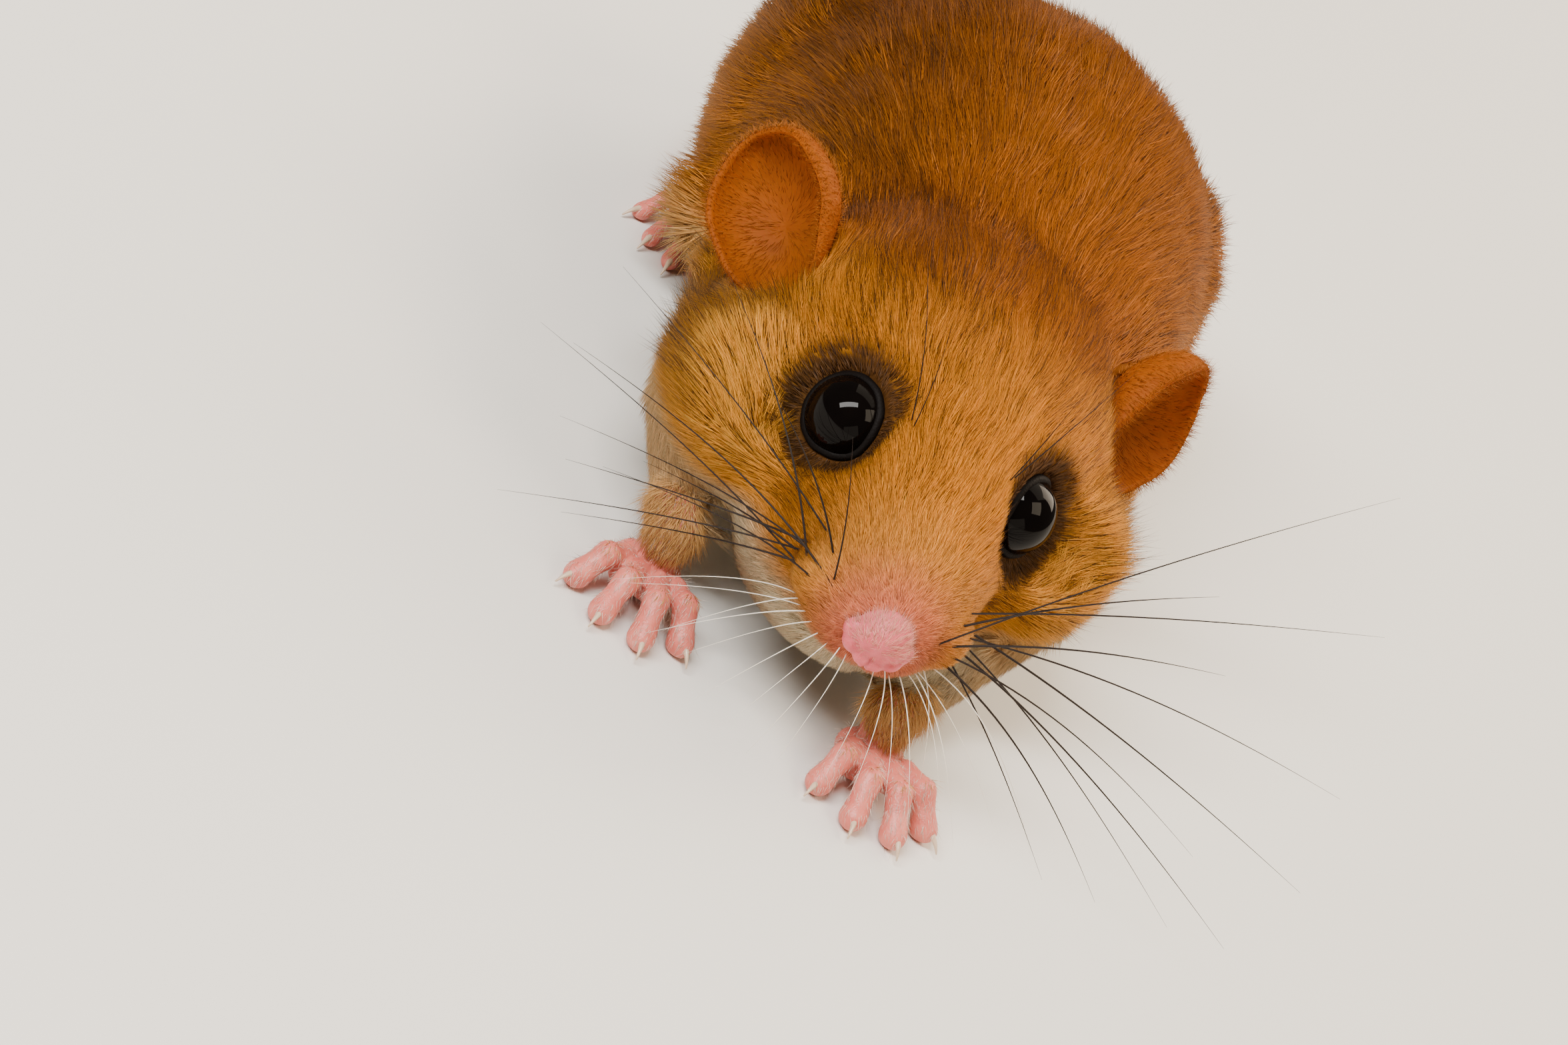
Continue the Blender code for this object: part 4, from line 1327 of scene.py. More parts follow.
@dataclass
class Eye:
    """One eyeball with its cornea, and the dark rim of its lids."""

    place: Place
    side_name: str
    side: float
    open_degrees: float = 62.0

    def corner(self, turns: Array) -> Array:
        """How many degrees the lids are drawn out at each turn: most at both corners."""
        return 9 * np.maximum(0, np.cos(turns)) ** 8 + 6 * np.maximum(0, -np.cos(turns)) ** 8

    def frame(self) -> Array:
        """The eye's own directions.

        Returns:
            Columns: towards the nose, across, and outward.
        """
        axis = mirrored(EYE_AXIS, self.side)
        nose = unit(NOSE_PAD - mirrored(EYE_CENTRE, self.side))
        nose = unit(nose - axis * (nose @ axis))
        return np.stack((nose, np.cross(axis, nose), axis), axis=1)

    def seen(self, head: Array) -> tuple[Array, Array, Array]:
        """Places as the eye sees them.

        Args:
            head: N by 3 places in the head's frame.

        Returns:
            Places in the eye's frame, how far each lies aside of its axis, and how many
            degrees the lids are drawn out there.
        """
        local = (head - mirrored(EYE_CENTRE, self.side)) @ self.frame()
        drawn = self.corner(np.arctan2(local[:, 1], local[:, 0]))
        return local, np.hypot(local[:, 0], local[:, 1]), drawn

    def ball(self) -> bpy.types.Object:
        """The eyeball, with a cornea that stands a little out.

        Returns:
            The object.
        """
        activate_none()
        bpy.ops.mesh.primitive_uv_sphere_add(segments=96, ring_count=64, radius=EYE_RADIUS)
        item = bpy.context.object
        item.name = f"eyeball_{self.side_name}"
        points = points_of(item)
        swell = 0.10 * ramp(points[:, 2] / EYE_RADIUS, 0.25, 1.0)
        points = points * (1 + swell / EYE_RADIUS)[:, None]
        set_points(item, self.place.from_head(points @ self.frame().T + mirrored(EYE_CENTRE, self.side)))
        item.data.shade_smooth()
        return item

    def lids(self) -> bpy.types.Object:
        """The lids' bare rim, drawn out a little at both corners.

        Returns:
            The object.
        """
        turns = np.arange(96) * math.tau / 96
        opening = self.open_degrees + self.corner(turns)
        profile = (
            (-2.0, -0.14), (-1.2, 0.02), (0.4, 0.09), (2.4, 0.16), (5, 0.17),
            (8, 0.14), (13, 0.0), (15, -0.9), (4, -0.9),
        )
        rings = []
        for angle, stand in profile:
            lean = np.radians(opening + angle)
            aside = np.sin(lean)
            flat = np.stack((np.cos(turns) * aside, np.sin(turns) * aside, np.cos(lean)), axis=-1)
            fold = 0.015 * np.sin(turns * 11) * ramp(np.array(float(angle)), 1, 6)
            rings.append(flat * (EYE_RADIUS + 0.07 + stand + fold)[:, None])
        points, quads = wrapped_rings(np.array(rings), closed=True)
        item = mesh_object(
            f"eyelids_{self.side_name}",
            self.place.from_head(points @ self.frame().T + mirrored(EYE_CENTRE, self.side)),
            quads,
        )
        edit_faces(item, outward=True, unwrap=False)
        return item


@dataclass
class Nose:
    """The bare nose pad with its lobes, nostrils and groove."""

    place: Place
    voxel: float = 0.1
    growth: tuple[float, float, float] = (1.14, 1.0, 1.24)

    def grown(self, places: Array) -> Array:
        """Places in the head's frame, spread about the pad's middle."""
        middle = np.array((0, -11.2, -4.75))
        return (places - middle) * self.growth + middle

    def build(self) -> bpy.types.Object:
        """Fuse the lobes and open the nostrils.

        Returns:
            The object.
        """
        balls = [((0, -10.7, -4.3), 1.45), ((0, -11.2, -4.1), 1.05), ((0, -11.55, -5.35), 0.62)]
        for _, side in SIDES:
            balls.append(((0.62 * side, -11.45, -4.35), 0.78))
            balls.append(((1.0 * side, -11.25, -5.0), 0.66))
            balls.append(((1.25 * side, -10.9, -4.6), 0.66))
            balls.append(((0.42 * side, -11.75, -5.35), 0.42))
        centres = self.grown(np.array([centre for centre, _ in balls]))
        radii = np.array([radius for _, radius in balls]) * self.growth[2]
        nose = fused("nose_pad", [ball_arrays(self.place.from_head(centres), radii)], self.voxel, 3)
        points, normals = points_of(nose), normals_of(nose)
        head = self.place.to_head(points)
        push = np.zeros(len(points))
        for _, side in SIDES:
            for centre, radius, depth in (
                ((0.98 * side, -11.85, -4.82), 0.26, 0.42),
                ((1.28 * side, -11.55, -4.62), 0.20, 0.26),
            ):
                gap = np.linalg.norm(head - self.grown(np.array(centre)), axis=1)
                push -= depth * np.exp(-((gap / radius) ** 2))
        front = ramp(head[:, 2], -4.6, -5.2) * ramp(head[:, 1], -10.8, -11.3)
        groove = np.exp(-((head[:, 0] / 0.13) ** 2)) * front
        push -= 0.22 * groove
        set_points(nose, points + normals * push[:, None])
        bake_modifier(nose, "SMOOTH", factor=0.3, iterations=1)
        edit_faces(nose)
        return nose


@dataclass(frozen=True)
class FootPlan:
    """Sizes of one kind of foot: heading, reach and place across of each toe."""

    toes: tuple[tuple[float, float, float], ...]
    spread: float
    knuckle: tuple[float, float]
    pad: float
    body: tuple[tuple[tuple[float, float, float], float], ...]


FOREFOOT = FootPlan(
    ((-34, 3.1, -1.4), (-11, 4.0, -0.5), (9, 4.1, 0.5), (33, 3.2, 1.4)),
    1.28, (-3.1, 1.75), 0.88,
    (
        ((-1.1, -0.9, 1.1), 1.1), ((1.1, -0.9, 1.1), 1.1),
        ((1.25, -2.9, 1.3), 0.9), ((-1.25, -2.9, 1.3), 0.9),
        ((-1.1, -0.9, 1.1), 1.1), ((0, -1.9, 1.5), 1.15), ((1.1, -0.9, 1.1), 1.1),
    ),
)
HINDFOOT = FootPlan(
    ((-34, 2.9, -1.3), (-12, 4.3, -0.75), (0, 4.7, 0.0), (12, 4.3, 0.75), (30, 3.2, 1.35)),
    1.15, (-8.6, 1.15), 0.62,
    (
        ((0, -0.2, 4.2), 1.75), ((0, -0.2, 1.3), 1.35), ((0, -0.4, 1.05), 1.2), ((-1.0, -7.6, 1.05), 1.05),
        ((1.0, -7.6, 1.05), 1.05), ((0, -0.4, 1.05), 1.2), ((0, -4.0, 1.25), 1.2),
    ),
)


@dataclass
class Foot:
    """One bare foot with its toes and claws."""

    place: Place
    plan: FootPlan
    name: str
    spot: Matrix
    wrist: tuple[Array, Array] | None = None
    voxel: float = 0.13

    def toe_points(
        self, heading: float, reach: float, across: float
    ) -> tuple[Array, Array, Array, Array]:
        """Where a toe runs, in the foot's frame.

        Args:
            heading: Degrees that it turns outward.
            reach: Its length.
            across: Its place across the foot.

        Returns:
            Its root, knuckle and tip, and the way it points.
        """
        turn = math.radians(heading)
        way = np.array((math.sin(turn), -math.cos(turn), 0))
        ahead, height = self.plan.knuckle
        root = np.array((across * self.plan.spread, ahead + 0.5 * abs(across), height))
        bend = root + way * reach * 0.52 + (0, 0, 0.45)
        tip = root + way * reach
        tip[2] = self.plan.pad * 0.86
        return root, bend, tip, way

    def seen(self, points: Array) -> Array:
        """The foot's frame to the floor frame."""
        turn = np.array(self.spot.to_3x3())
        return np.asarray(points) @ turn.T + np.array(self.spot.translation)

    def build(self) -> bpy.types.Object:
        """The foot's flesh: a palm or sole, arched toes with pads, and the wrist.

        Returns:
            The object.
        """
        pad = self.plan.pad
        centres, radii = chain(self.plan.body, 7)
        parts = [ball_arrays(self.seen(centres), radii)]
        for toe in self.plan.toes:
            root, bend, tip, way = self.toe_points(*toe)
            balls = (
                (root, pad * 0.98), (root + (bend - root) * 0.6, pad * 0.84), (bend, pad * 0.93),
                (bend + (tip - bend) * 0.5, pad * 0.80), (tip, pad * 0.97), (tip + way * 0.25, pad * 0.82),
            )
            centres, radii = chain(balls, 4)
            parts.append(ball_arrays(self.seen(centres), radii))
        if self.wrist:
            joint, way = self.wrist
            heel = self.seen(np.array((0, -1.4, 1.5)))
            centres, radii = chain(((joint + way * 1.6, 1.5), (joint, 1.5), (heel, 1.3)), 6)
            parts.append(ball_arrays(centres, radii))
        item = fused(self.name, parts, self.voxel, 3)
        points = points_of(item)
        points[:, 2] = np.maximum(points[:, 2], 0.02)
        set_points(item, points)
        edit_faces(item)
        return item

    def claws(self) -> tuple[Array, Array]:
        """Curved tapered claws, one on each toe.

        Returns:
            Points and triangles.
        """
        parts = []
        for toe in self.plan.toes:
            _, _, tip, way = self.toe_points(*toe)
            start = tip + way * self.plan.pad * 0.55 + (0, 0, 0.22)
            steps = np.linspace(0, 1, 7)[:, None]
            path = start + way * 1.25 * steps + np.array((0, 0, 1.0)) * (0.10 * steps - 0.62 * steps**2)
            path[:, 2] = np.maximum(path[:, 2], 0.08)
            parts.append(tube_arrays(self.seen(path), np.linspace(0.24, 0.05, 7), 8))
        return gathered(parts)


@dataclass
class Coat:
    """The fur: tufts planted over the skin, combed, clumped and coloured."""

    place: Place
    lie: Lie
    markings: Markings
    seed: int = 20
    piece_faces: int = 190000
    spikes_before: float = 53.0
    clump_mm: float = 1.1

    def allowed(self, roots: Roots) -> Array:
        """Which roots are on furred skin, off the eyes, ear cups and nose pad.

        Args:
            roots: Places on the skin.

        Returns:
            True where a tuft may grow.
        """
        head = self.place.to_head(roots.points)
        keep = np.linalg.norm((head - NOSE_PAD) / (1.95, 1.4, 1.5), axis=1) > 1.0
        for _, side in SIDES:
            local, aside, drawn = Eye(self.place, "", side).seen(head)
            keep &= (aside > 2.46 + 0.012 * drawn) | (local[:, 2] < -0.3)
            rim, height, wall = in_ear(head, side)
            keep &= ~((rim < 0.93) & (height > wall - 0.6) & (height < 3))
        return keep & (roots.points[:, 2] > 0.25)

    def comb(self, roots: Roots, draw: np.random.Generator) -> Tufts:
        """Give each root its way, length, width, lift and colours.

        Args:
            roots: Where the tufts grow.
            draw: Seeded random numbers.

        Returns:
            The tufts.
        """
        points, count = roots.points, len(roots.points)
        ways = self.lie.way(points, roots.normals)
        swirl = points[:, 0] * 0.9 + 1.3 * np.sin(points[:, 1] * 0.5)
        drift = 0.16 * np.sin(swirl) + 0.12 * np.sin(points[:, 1] * 1.1 + points[:, 2])
        turn = (drift + draw.normal(0, 0.16, count))[:, None]
        side = np.cross(roots.normals, ways)
        ways = unit(ways * np.cos(turn) + side * np.sin(turn))
        length = self.lie.length(points) * draw.uniform(0.72, 1.15, count)
        head_y = self.place.to_head(points)[:, 1]
        on_tail = ramp(points[:, 1], TAIL_ROOT[1], TAIL_ROOT[1] + 7)
        width = np.interp(head_y, *HAIR_WIDTH)
        width = width * draw.uniform(0.75, 1.25, count)
        lift = np.radians(np.interp(head_y, (-12, -6), (14, 12))) * draw.uniform(0.4, 1.5, count)
        lift = lift * (1 - on_tail) + on_tail * np.radians(27) * draw.uniform(0.6, 1.3, count)
        guard = (draw.random(count) < 0.12) & (self.place.to_head(points)[:, 2] > -5.5) & (points[:, 2] > 1.5)
        length = np.where(guard, length * np.interp(head_y, (-8, -3, 8, 20), (1.2, 1.55, 1.4, 1.15)), length)
        width = np.where(guard, width * 0.75, width)
        lift = np.where(guard, lift * 1.2, lift)
        tip = self.markings.colour(points)
        tone = draw.normal(1.0, 0.20, (count, 1)) * (1 + 0.08 * draw.normal(0, 1, (count, 1)) * (1, 0.6, 0.2))
        tip = tip * np.clip(tone, 0.45, 1.6)
        pale = draw.random(count) < 0.10
        tip = np.where(pale[:, None], tip * 1.25 + 0.03, tip)
        dark = linear(self.markings.guard)
        strong = np.interp(head_y, (-10, -5, 2, 20), (0.45, 0.85, 0.92, 0.75))[:, None]
        tip = np.where(guard[:, None], tip * (1 - strong) + dark * strong, tip)
        root = tip * np.array((0.52, 0.43, 0.36))
        middle = tip * np.array((0.78, 0.73, 0.69))
        return Tufts(roots, ways, length, width, lift, np.stack((root, middle, tip), axis=1))

    def clumped(self, tufts: Tufts, pull: float) -> tuple[Array, Array]:
        """Draw the ends of neighbouring tufts together.

        Args:
            tufts: The tufts.
            pull: How far they close up, from 0 to 1.

        Returns:
            Their new middles and ends.
        """
        middle, end = tufts.spine()
        points = tufts.roots.points
        jitter = np.sin(points[:, [1, 2, 0]] * 2.3) * 0.4
        cells = np.floor((points + jitter) / self.clump_mm).astype(np.int64)
        keys = cells[:, 0] * 73856093 ^ cells[:, 1] * 19349663 ^ cells[:, 2] * 83492791
        _, owner, counts = np.unique(keys, return_inverse=True, return_counts=True)
        mean_end = np.stack([np.bincount(owner, end[:, k]) for k in range(3)], axis=1) / counts[:, None]
        mean_middle = np.stack([np.bincount(owner, middle[:, k]) for k in range(3)], axis=1) / counts[:, None]
        end = end + (mean_end[owner] - end) * pull
        middle = middle + (mean_middle[owner] - middle) * pull * 0.35
        return middle, end

    def clear_of_eyes(self, middle: Array, end: Array) -> Array:
        """Which tufts keep off the open part of the eyes.

        Args:
            middle: Where each tuft bends.
            end: Where each ends.

        Returns:
            True where a tuft stays.
        """
        keep = np.ones(len(end), bool)
        for _, side in SIDES:
            for spots in (middle, end, (middle + end) / 2):
                local, aside, drawn = Eye(self.place, "", side).seen(self.place.to_head(spots))
                keep &= (aside > 2.3 + 0.01 * drawn) | (local[:, 2] < 0)
        return keep

    def plant(
        self, name: str, surface: Surface, roots: Roots, pull: float, draw: np.random.Generator
    ) -> list[bpy.types.Object]:
        """Comb the roots and make the pieces of the coat.

        Args:
            name: What the pieces are called, before a number.
            surface: The skin.
            roots: Where the tufts grow.
            pull: How much neighbouring ends close up.
            draw: Seeded random numbers.

        Returns:
            The pieces.
        """
        roots = roots.only(np.argsort(roots.points[:, 1], kind="stable"))
        tufts = self.comb(roots, draw)
        middle, end = self.clumped(tufts, pull)
        rise = np.minimum(0.10 + 0.12 * tufts.lengths, 0.5) * draw.uniform(0.7, 1.4, len(end))
        middle = surface.raised(middle, rise * 0.6)
        end = surface.raised(end, rise)
        keep = self.clear_of_eyes(middle, end)
        pieces = []
        before = self.place.to_head(roots.points)[:, 1] + draw.uniform(-7, 7, len(end)) < self.spikes_before
        for shape, where in ((TuftShape.SPIKE, keep & before), (TuftShape.BENT, keep & ~before)):
            chosen = np.flatnonzero(where)
            share = self.piece_faces // len(shape.value[0])
            for start in range(0, len(chosen), share):
                part = chosen[start:start + share]
                some = Tufts(
                    tufts.roots.only(part), tufts.ways[part], tufts.lengths[part], tufts.widths[part],
                    tufts.lifts[part], tufts.colours[part],
                )
                pieces.append(some.object(f"{name}_{len(pieces) + 1}", middle[part], end[part], shape))
        return pieces


@dataclass
class DownCoat:
    """Short fine hair on the ears and feet."""

    place: Place
    markings: Markings

    def plant(
        self, name: str, surface: Surface, density: Callable, way: Callable, length: Callable,
        colour: str, draw: np.random.Generator, width: float = 0.07, lift: float = 22,
    ) -> bpy.types.Object:
        """Plant one piece of short hair.

        Args:
            name: The piece's name.
            surface: The bare surface.
            density: Hairs in a square millimetre by place.
            way: The way of the hair by place.
            length: Its length by place.
            colour: Its colour.
            draw: Seeded random numbers.
            width: Its width in millimetres.
            lift: Its lean off the skin in degrees.

        Returns:
            The object.
        """
        roots = surface.scatter(density, draw)
        count = len(roots.points)
        ways = way(roots.points)
        ways = ways - roots.normals * (ways * roots.normals).sum(1)[:, None]
        ways = unit(unit(ways) + draw.normal(0, 0.2, (count, 3)))
        tone = np.clip(draw.normal(1.0, 0.14, (count, 1)), 0.6, 1.4)
        tip = linear(colour)[None] * tone
        colours = np.stack([tip * share for share in (0.7, 0.92, 1.0)], axis=1)
        lengths = length(roots.points) * draw.uniform(0.7, 1.2, count)
        widths = width * draw.uniform(0.7, 1.2, count)
        lifts = np.radians(lift) * draw.uniform(0.5, 1.5, count)
        tufts = Tufts(roots, ways, lengths, widths, lifts, colours)
        return tufts.object(name, *tufts.spine(), TuftShape.SPIKE)


class WhiskerTone(Enum):
    """The two colours of whisker."""

    DARK = "dark"
    WHITE = "white"


@dataclass(frozen=True)
class Whisker:
    """One whisker: its root and tip on its side of the head, its tone, thickness and bow."""

    root: tuple[float, float, float]
    tip: tuple[float, float, float]
    tone: WhiskerTone
    radius: float = 0.06
    bow: float = 0.10


# Tips of the long dark whiskers of each side, from the highest down, in the head's frame
DARK_TIPS = {
    "left": (
        (24.0, 3.4, 11.5), (16.5, -4.2, 4.6), (28.0, 0.5, 4.5), (19.5, -5.6, 1.0),
        (30.7, -4.5, -3.5), (31.2, -8.3, -8.0), (24.0, -9.5, -8.5), (28.7, -11.2, -12.0),
        (26.0, -9.4, -14.0), (20.9, -10.8, -13.8), (17.0, -11.8, -13.4),
    ),
    "right": (
        (7.4, -6.6, 3.6), (11.8, -4.6, 2.2), (20.4, 5.0, -2.0), (20.6, 2.6, -6.6),
        (19.0, 1.0, -10.4), (18.6, -3.7, -9.4), (18.0, -8.0, -5.4), (16.5, -2.7, -13.6),
        (21.0, -5.0, -12.6), (15.6, 4.6, 1.6), (22.4, 4.2, -7.6), (14.2, -1.4, -8.6),
    ),
}
# Tips of the short pale hairs of each side's lip and chin
PALE_TIPS = {
    "left": (
        (1.6, -14.6, -12.2), (3.8, -14.2, -13.3), (5.6, -14.6, -12.2), (7.6, -14.1, -12.9),
        (9.4, -12.9, -12.4), (11.2, -12.4, -13.8), (13.4, -9.9, -13.2), (16.4, -9.6, -13.9),
        (8.6, -10.6, -14.1),
    ),
    "right": (
        (1.0, -14.0, -13.2), (2.6, -13.8, -13.9), (4.4, -13.2, -13.0), (6.4, -11.8, -14.0),
        (8.2, -10.0, -13.2), (10.2, -8.6, -14.1), (12.6, -6.4, -13.4), (9.0, -7.4, -14.2),
        (13.6, -8.6, -11.6),
    ),
}
BROW_HAIRS = (((3.6, -1.2, 3.1), (7.2, 4.6, 9.4)), ((3.3, -1.6, 3.0), (4.4, 1.4, 8.2)))


def whisker_rows(side_name: str) -> list[Whisker]:
    """The whiskers of one side: dark ones on the pad, pale ones along the lip, brow hairs.

    Args:
        side_name: Left or right.

    Returns:
        The whiskers, as if on the left side.
    """
    rows = []
    dark, pale = DARK_TIPS[side_name], PALE_TIPS[side_name]
    for step, tip in enumerate(dark):
        share = step / (len(dark) - 1)
        level = step % 3 - 1
        ahead = -8.3 + 1.15 * level + 0.6 * share
        root = (4.1 + 0.7 * share - 0.15 * abs(level), ahead, -3.0 - 2.6 * share + 0.2 * level)
        radius, bow = 0.062 + 0.013 * (step % 2), 0.08 + 0.035 * math.sin(step * 2.3)
        rows.append(Whisker(root, tip, WhiskerTone.DARK, radius, bow))
    for step, tip in enumerate(pale):
        share = step / (len(pale) - 1)
        root = (0.9 + 3.2 * share, -10.7 + 3.2 * share, -6.5 - 0.7 * share + 0.25 * (step % 2))
        radius, bow = 0.034 + 0.008 * (step % 2), 0.16 + 0.05 * math.sin(step * 1.9)
        rows.append(Whisker(root, tip, WhiskerTone.WHITE, radius, bow))
    rows += [Whisker(root, tip, WhiskerTone.DARK, 0.04, 0.1) for root, tip in BROW_HAIRS]
    return rows


@dataclass
class Whiskers:
    """All whiskers of one side in one tone."""

    place: Place
    side_name: str
    side: float
    steps: int = 22

    def build(self, tone: WhiskerTone) -> bpy.types.Object:
        """Tapered, gently bowed shafts that keep clear of the floor.

        Args:
            tone: Which of the whiskers.

        Returns:
            The object.
        """
        parts = []
        for row in whisker_rows(self.side_name):
            if row.tone is not tone:
                continue
            share = np.linspace(0, 1, self.steps)[:, None]
            root, tip = (mirrored(np.array(end), self.side) for end in (row.root, row.tip))
            length = np.linalg.norm(tip - root)
            bow = np.array((0, -0.35, 1.0)) * row.bow * length * 4 * share * (1 - share) * (1 - 0.4 * share)
            path = self.place.from_head(root + (tip - root) * (share * 1.03 - 0.03) + bow)
            path[:, 2] = np.maximum(path[:, 2], 0.25 + 0.02 * path[:, 2].clip(0))
            parts.append(tube_arrays(path, row.radius * (1 - 0.9 * share[:, 0] ** 1.3), 6))
        return mesh_object(f"whiskers_{tone.value}_{self.side_name}", *gathered(parts))


@dataclass
class Studio:
    """Pale floor, soft lights and the camera at the photograph's angle."""

    place: Place
    distance: float = 350.0
    pixels_per_mm: float = 26.42
    image: tuple[int, int] = (2352, 1568)
    eyes_at: tuple[float, float] = (1405.0, 700.0)
    yaw: float = math.radians(20)
    pitch: float = math.radians(34.6)
    roll: float = math.radians(-40.5)
    sensor: float = 36.0

    def view_axes(self) -> tuple[Array, Array, Array]:
        """The camera's right, up and backward ways on the floor frame.

        Returns:
            Three unit ways.
        """
        flat, rise = math.cos(self.pitch), math.sin(self.pitch)
        back = np.array((-math.sin(self.yaw) * flat, -math.cos(self.yaw) * flat, rise))
        level = np.array((math.cos(self.yaw), -math.sin(self.yaw), 0.0))
        upright = np.cross(back, level)
        right = level * math.cos(self.roll) - upright * math.sin(self.roll)
        up = level * math.sin(self.roll) + upright * math.cos(self.roll)
        return tuple(self.place.turned(way) for way in (right, up, back))

    def camera(self) -> None:
        """Set the camera so that the eyes fall where the photograph has them."""
        right, up, back = self.view_axes()
        centre = np.array((0, 0, EYE_HEIGHT))
        centre = centre + right * (self.image[0] / 2 - self.eyes_at[0]) / self.pixels_per_mm
        centre = centre - up * (self.image[1] / 2 - self.eyes_at[1]) / self.pixels_per_mm
        data = bpy.data.cameras.new("photo_view")
        data.sensor_width = self.sensor
        data.lens = self.sensor * self.distance * self.pixels_per_mm / self.image[0]
        data.clip_start, data.clip_end = 0.01, 20.0
        camera = bpy.data.objects.new("photo_view", data)
        bpy.context.scene.collection.objects.link(camera)
        turn = Matrix(np.stack((right, up, back), axis=1).tolist()).to_4x4()
        camera.matrix_world = Matrix.Translation(Vector(self.place.row(centre + back * self.distance))) @ turn
        bpy.context.scene.camera = camera

    def floor(self) -> None:
        """A wide pale floor of matt paper."""
        activate_none()
        bpy.ops.mesh.primitive_plane_add(size=6.0, location=(0, 0, 0))
        floor = bpy.context.object
        floor.name = "studio_floor"
        floor.data.materials.append(PlainFinish("matt_paper", "E9E6E0", "E4E1DA", 0.85, 60.0).material())

    def light(
        self, name: str, way: Array, distance: float, size: tuple[float, float], power: float, colour: str
    ) -> None:
        """Add one soft box that faces the head.

        Args:
            name: The light's name.
            way: Where it stands, seen from the head, on the floor frame.
            distance: How far, in metres.
            size: Width and height in metres.
            power: Watts.
            colour: Its sRGB colour.
        """
        data = bpy.data.lights.new(name, "AREA")
        data.shape = "RECTANGLE"
        data.size, data.size_y = size
        data.energy = power
        data.color = tuple(linear(colour))
        light = bpy.data.objects.new(name, data)
        bpy.context.scene.collection.objects.link(light)
        target = Vector(self.place.row(np.array((0, 10, 12.0))))
        way = unit(way)
        across = self.view_axes()[0]
        across = unit(across - way * (across @ way))
        turn = Matrix(np.stack((across, np.cross(way, across), way), axis=1).tolist()).to_4x4()
        light.matrix_world = Matrix.Translation(target + Vector(way) * distance) @ turn

    def build(self) -> None:
        """Put up the camera, the floor, the lights and a dim pale surround."""
        self.camera()
        self.floor()
        right, up, back = self.view_axes()
        self.light("window", back * 0.85 + up * 0.62, 0.55, (0.46, 0.12), 6.5, "FBF8F4")
        self.light("overhead", np.array((0.3, 0.75, 1.0)), 0.7, (0.7, 0.7), 2.8, "FFEFD8")
        self.light("rim", np.array((0.9, 0.9, 0.7)), 0.6, (0.3, 0.4), 3.0, "FFEBD2")
        self.light("side", back * 0.55 + right * 0.95 + up * 0.1, 0.7, (0.35, 0.35), 3.1, "FFEBCE")
        self.light("fill", back * 0.75 - up * 0.55 + right * 0.1, 0.75, (0.5, 0.4), 0.9, "FFF0DC")
        world = bpy.data.worlds.new("studio_surround")
        world.use_nodes = True
        world.node_tree.nodes["Background"].inputs["Color"].default_value = (*linear("F4EADC"), 1)
        world.node_tree.nodes["Background"].inputs["Strength"].default_value = 0.16
        bpy.context.scene.world = world


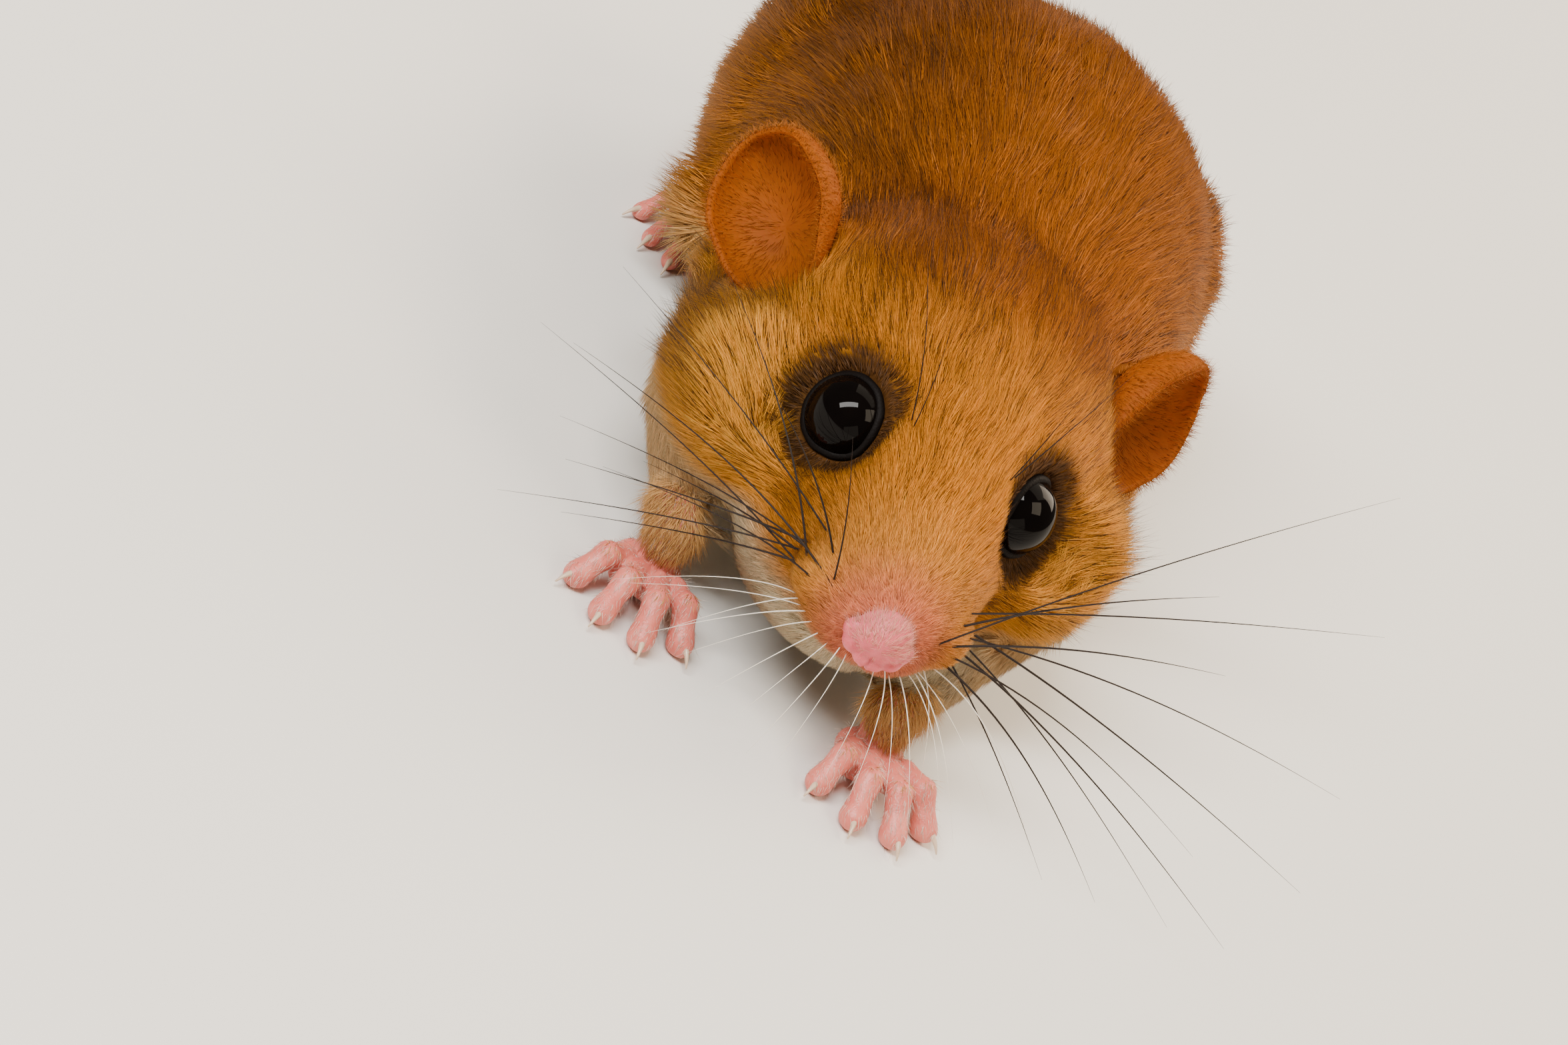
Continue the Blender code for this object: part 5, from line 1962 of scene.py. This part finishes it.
@dataclass
class Dormouse:
    """The whole animal, dressed over its frame."""

    frame: dict
    place: Place
    thin_out: float

    def build(self) -> None:
        """Build the skin, the face, the ears, the feet, the whiskers and the coat."""
        tail = Tail()
        tail_points = tail.line()
        markings = Markings(self.place)
        lie = Lie(self.place, tail, tail_points)
        skin = Skin(self.place, tail_points, tail).build(self.frame["nodes"])
        surface = Surface.of(skin)
        # The hide takes the coat's colours at 0.62: partly the darker undercoat, partly painted shade deep in
        # the coat
        paint(skin, markings.colour(points_of(skin)) * 0.62)
        coat = Coat(self.place, lie, markings)
        draw = np.random.default_rng(coat.seed)
        roots = surface.scatter(lambda points: lie.density(points) * self.thin_out, draw)
        roots = roots.only(coat.allowed(roots))
        fur = CoatFinish().material()
        for piece in coat.plant("coat", surface, roots, 0.2, draw):
            self.place.publish(piece, COAT_SLOT, fur)
        self.place.publish(skin, COAT_SLOT, HIDE.material(), *FLESH, *TAIL_NODES)
        down = DownCoat(self.place, markings)
        self.nose(down, fur, draw)
        self.eyes()
        self.ears(down, fur, draw)
        self.feet(down, fur, draw)
        self.whiskers()

    def nose(self, down: DownCoat, fur: bpy.types.Material, draw: np.random.Generator) -> None:
        """The nose pad with the pale down on its upper half.

        Args:
            down: The short hair.
            fur: The coat's material.
            draw: Seeded random numbers.
        """
        pad = Nose(self.place).build()

        def above(points: Array) -> Array:
            """The down is dense on top and ends over the nostrils."""
            head = self.place.to_head(points)
            return 95.0 * ramp(head[:, 2], -5.0, -3.9) * self.thin_out

        hair = down.plant(
            "nose_hair", Surface.of(pad), above,
            lambda points: np.tile((0.0, 1.0, 0.25), (len(points), 1)),
            lambda points: np.full(len(points), 0.7), "E6A08E", draw, width=0.04, lift=20,
        )
        self.place.publish(hair, COAT_SLOT, fur)
        self.place.publish(pad, COAT_SLOT, NOSE_SKIN.material())

    def eyes(self) -> None:
        """Both eyeballs and the rims of their lids."""
        cornea, rim = CORNEA.material(), LID_SKIN.material()
        for side_name, side in SIDES:
            eye = Eye(self.place, side_name, side)
            self.place.publish(eye.ball(), EYE_SLOT, cornea, f"eye_{side_name}")
            self.place.publish(eye.lids(), COAT_SLOT, rim)

    def ears(self, down: DownCoat, fur: bpy.types.Material, draw: np.random.Generator) -> None:
        """Both ear cups with the short hair on them.

        Args:
            down: The short hair.
            fur: The coat's material.
            draw: Seeded random numbers.
        """
        skin = EAR_SKIN.material()
        for side_name, side in SIDES:
            cup = Ear(self.place, side_name, side).build()
            surface = Surface.of(cup)
            centre = self.place.from_head(mirrored(EAR_CENTRE, side))
            axis = self.place.turned(ear_axes(side)[2])

            def outward(points: Array) -> Array:
                """Hair runs from the ear's bottom to its rim."""
                return points - (centre - axis * EAR_DEPTH) + axis * 1.5

            def outside(points: Array) -> Array:
                """Hair is dense on the back of the cup and sparse inside."""
                local = points - centre
                deep = local @ axis
                return np.where(deep > -EAR_DEPTH * 0.9, 34.0, 12.0) * self.thin_out

            hair = down.plant(
                f"ear_hair_{side_name}", surface, outside, outward, lambda points: np.full(len(points), 0.85),
                "9C5616", draw, width=0.05, lift=13,
            )
            self.place.publish(hair, EAR_SLOT, fur)
            self.place.publish(cup, EAR_SLOT, skin, f"ear_{side_name}")

    def feet(self, down: DownCoat, fur: bpy.types.Material, draw: np.random.Generator) -> None:
        """Four feet with their claws and short hair.

        Args:
            down: The short hair.
            fur: The coat's material.
            draw: Seeded random numbers.
        """
        skin, horn = PAW_SKIN.material(), CLAW_HORN.material()
        for side_name, side in SIDES:
            wrist, turn = WRISTS[side_name]
            spot = Matrix.Translation((wrist[0], wrist[1], 0)) @ Matrix.Rotation(turn, 4, "Z")
            way = unit(mirrored(ELBOW, side) - wrist)
            heel = mirrored(HEEL, side)
            hind_spot = Matrix.Translation(Vector(heel)) @ Matrix.Rotation(HINDFOOT_TURN * side, 4, "Z")
            for kind, foot in (
                ("forefoot", Foot(self.place, FOREFOOT, f"forefoot_skin_{side_name}", spot, (wrist, way))),
                ("hindfoot", Foot(self.place, HINDFOOT, f"hindfoot_skin_{side_name}", hind_spot)),
            ):
                flesh = foot.build()
                claws = mesh_object(f"{kind}_claws_{side_name}", *foot.claws())
                forward = np.array(foot.spot.to_3x3() @ Vector((0, -1, 0)))

                def ahead(points: Array) -> Array:
                    """Hair on the feet lies towards the claws."""
                    return np.tile(forward + (0, 0, -0.3), (len(points), 1))

                hair = down.plant(
                    f"{kind}_hair_{side_name}", Surface.of(flesh),
                    lambda points: np.where(points[:, 2] > 0.9, 16.0, 0.5) * self.thin_out, ahead,
                    lambda points: np.full(len(points), 0.8), "EBDACB", draw, width=0.045, lift=16,
                )
                self.place.publish(hair, FOOT_SLOT, fur)

                def down_limb(points: Array) -> Array:
                    """Fur on the wrist or ankle runs down the limb on to the foot."""
                    return np.tile(forward * 0.8 + (0, 0, -0.55), (len(points), 1))

                cuff = down.plant(
                    f"{kind}_cuff_{side_name}", Surface.of(flesh),
                    lambda points: 95.0 * ramp(points[:, 2], 2.75, 3.3) * self.thin_out, down_limb,
                    lambda points: 0.8 + 0.9 * ramp(points[:, 2], 2.7, 3.8),
                    "DCA868", draw, width=0.07, lift=12,
                )
                self.place.publish(cuff, FOOT_SLOT, fur)
                self.place.publish(flesh, FOOT_SLOT, skin, f"{kind}_{side_name}")
                self.place.publish(claws, FOOT_SLOT, horn)

    def whiskers(self) -> None:
        """The whiskers of both sides."""
        finishes = {WhiskerTone.DARK: DARK_WHISKER.material(), WhiskerTone.WHITE: WHITE_WHISKER.material()}
        for side_name, side in SIDES:
            for tone, material in finishes.items():
                piece = Whiskers(self.place, side_name, side).build(tone)
                replaced = (f"whiskers_{side_name}",) if tone is WhiskerTone.DARK else ()
                self.place.publish(piece, WHISKER_SLOT, material, *replaced)


def corners(box: tuple[Vector, Vector]) -> list[list[float]]:
    """A box as plain lists of numbers."""
    return [list(map(float, corner)) for corner in box]


def main() -> None:
    """Load the frame, build the animal and its studio."""
    logging.basicConfig(level=logging.INFO, format="%(name)s %(message)s")
    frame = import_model()
    place = Place.from_frame()
    Studio(place).build()
    Dormouse(frame, place, 1.0).build()


if __name__ == "__main__":
    main()
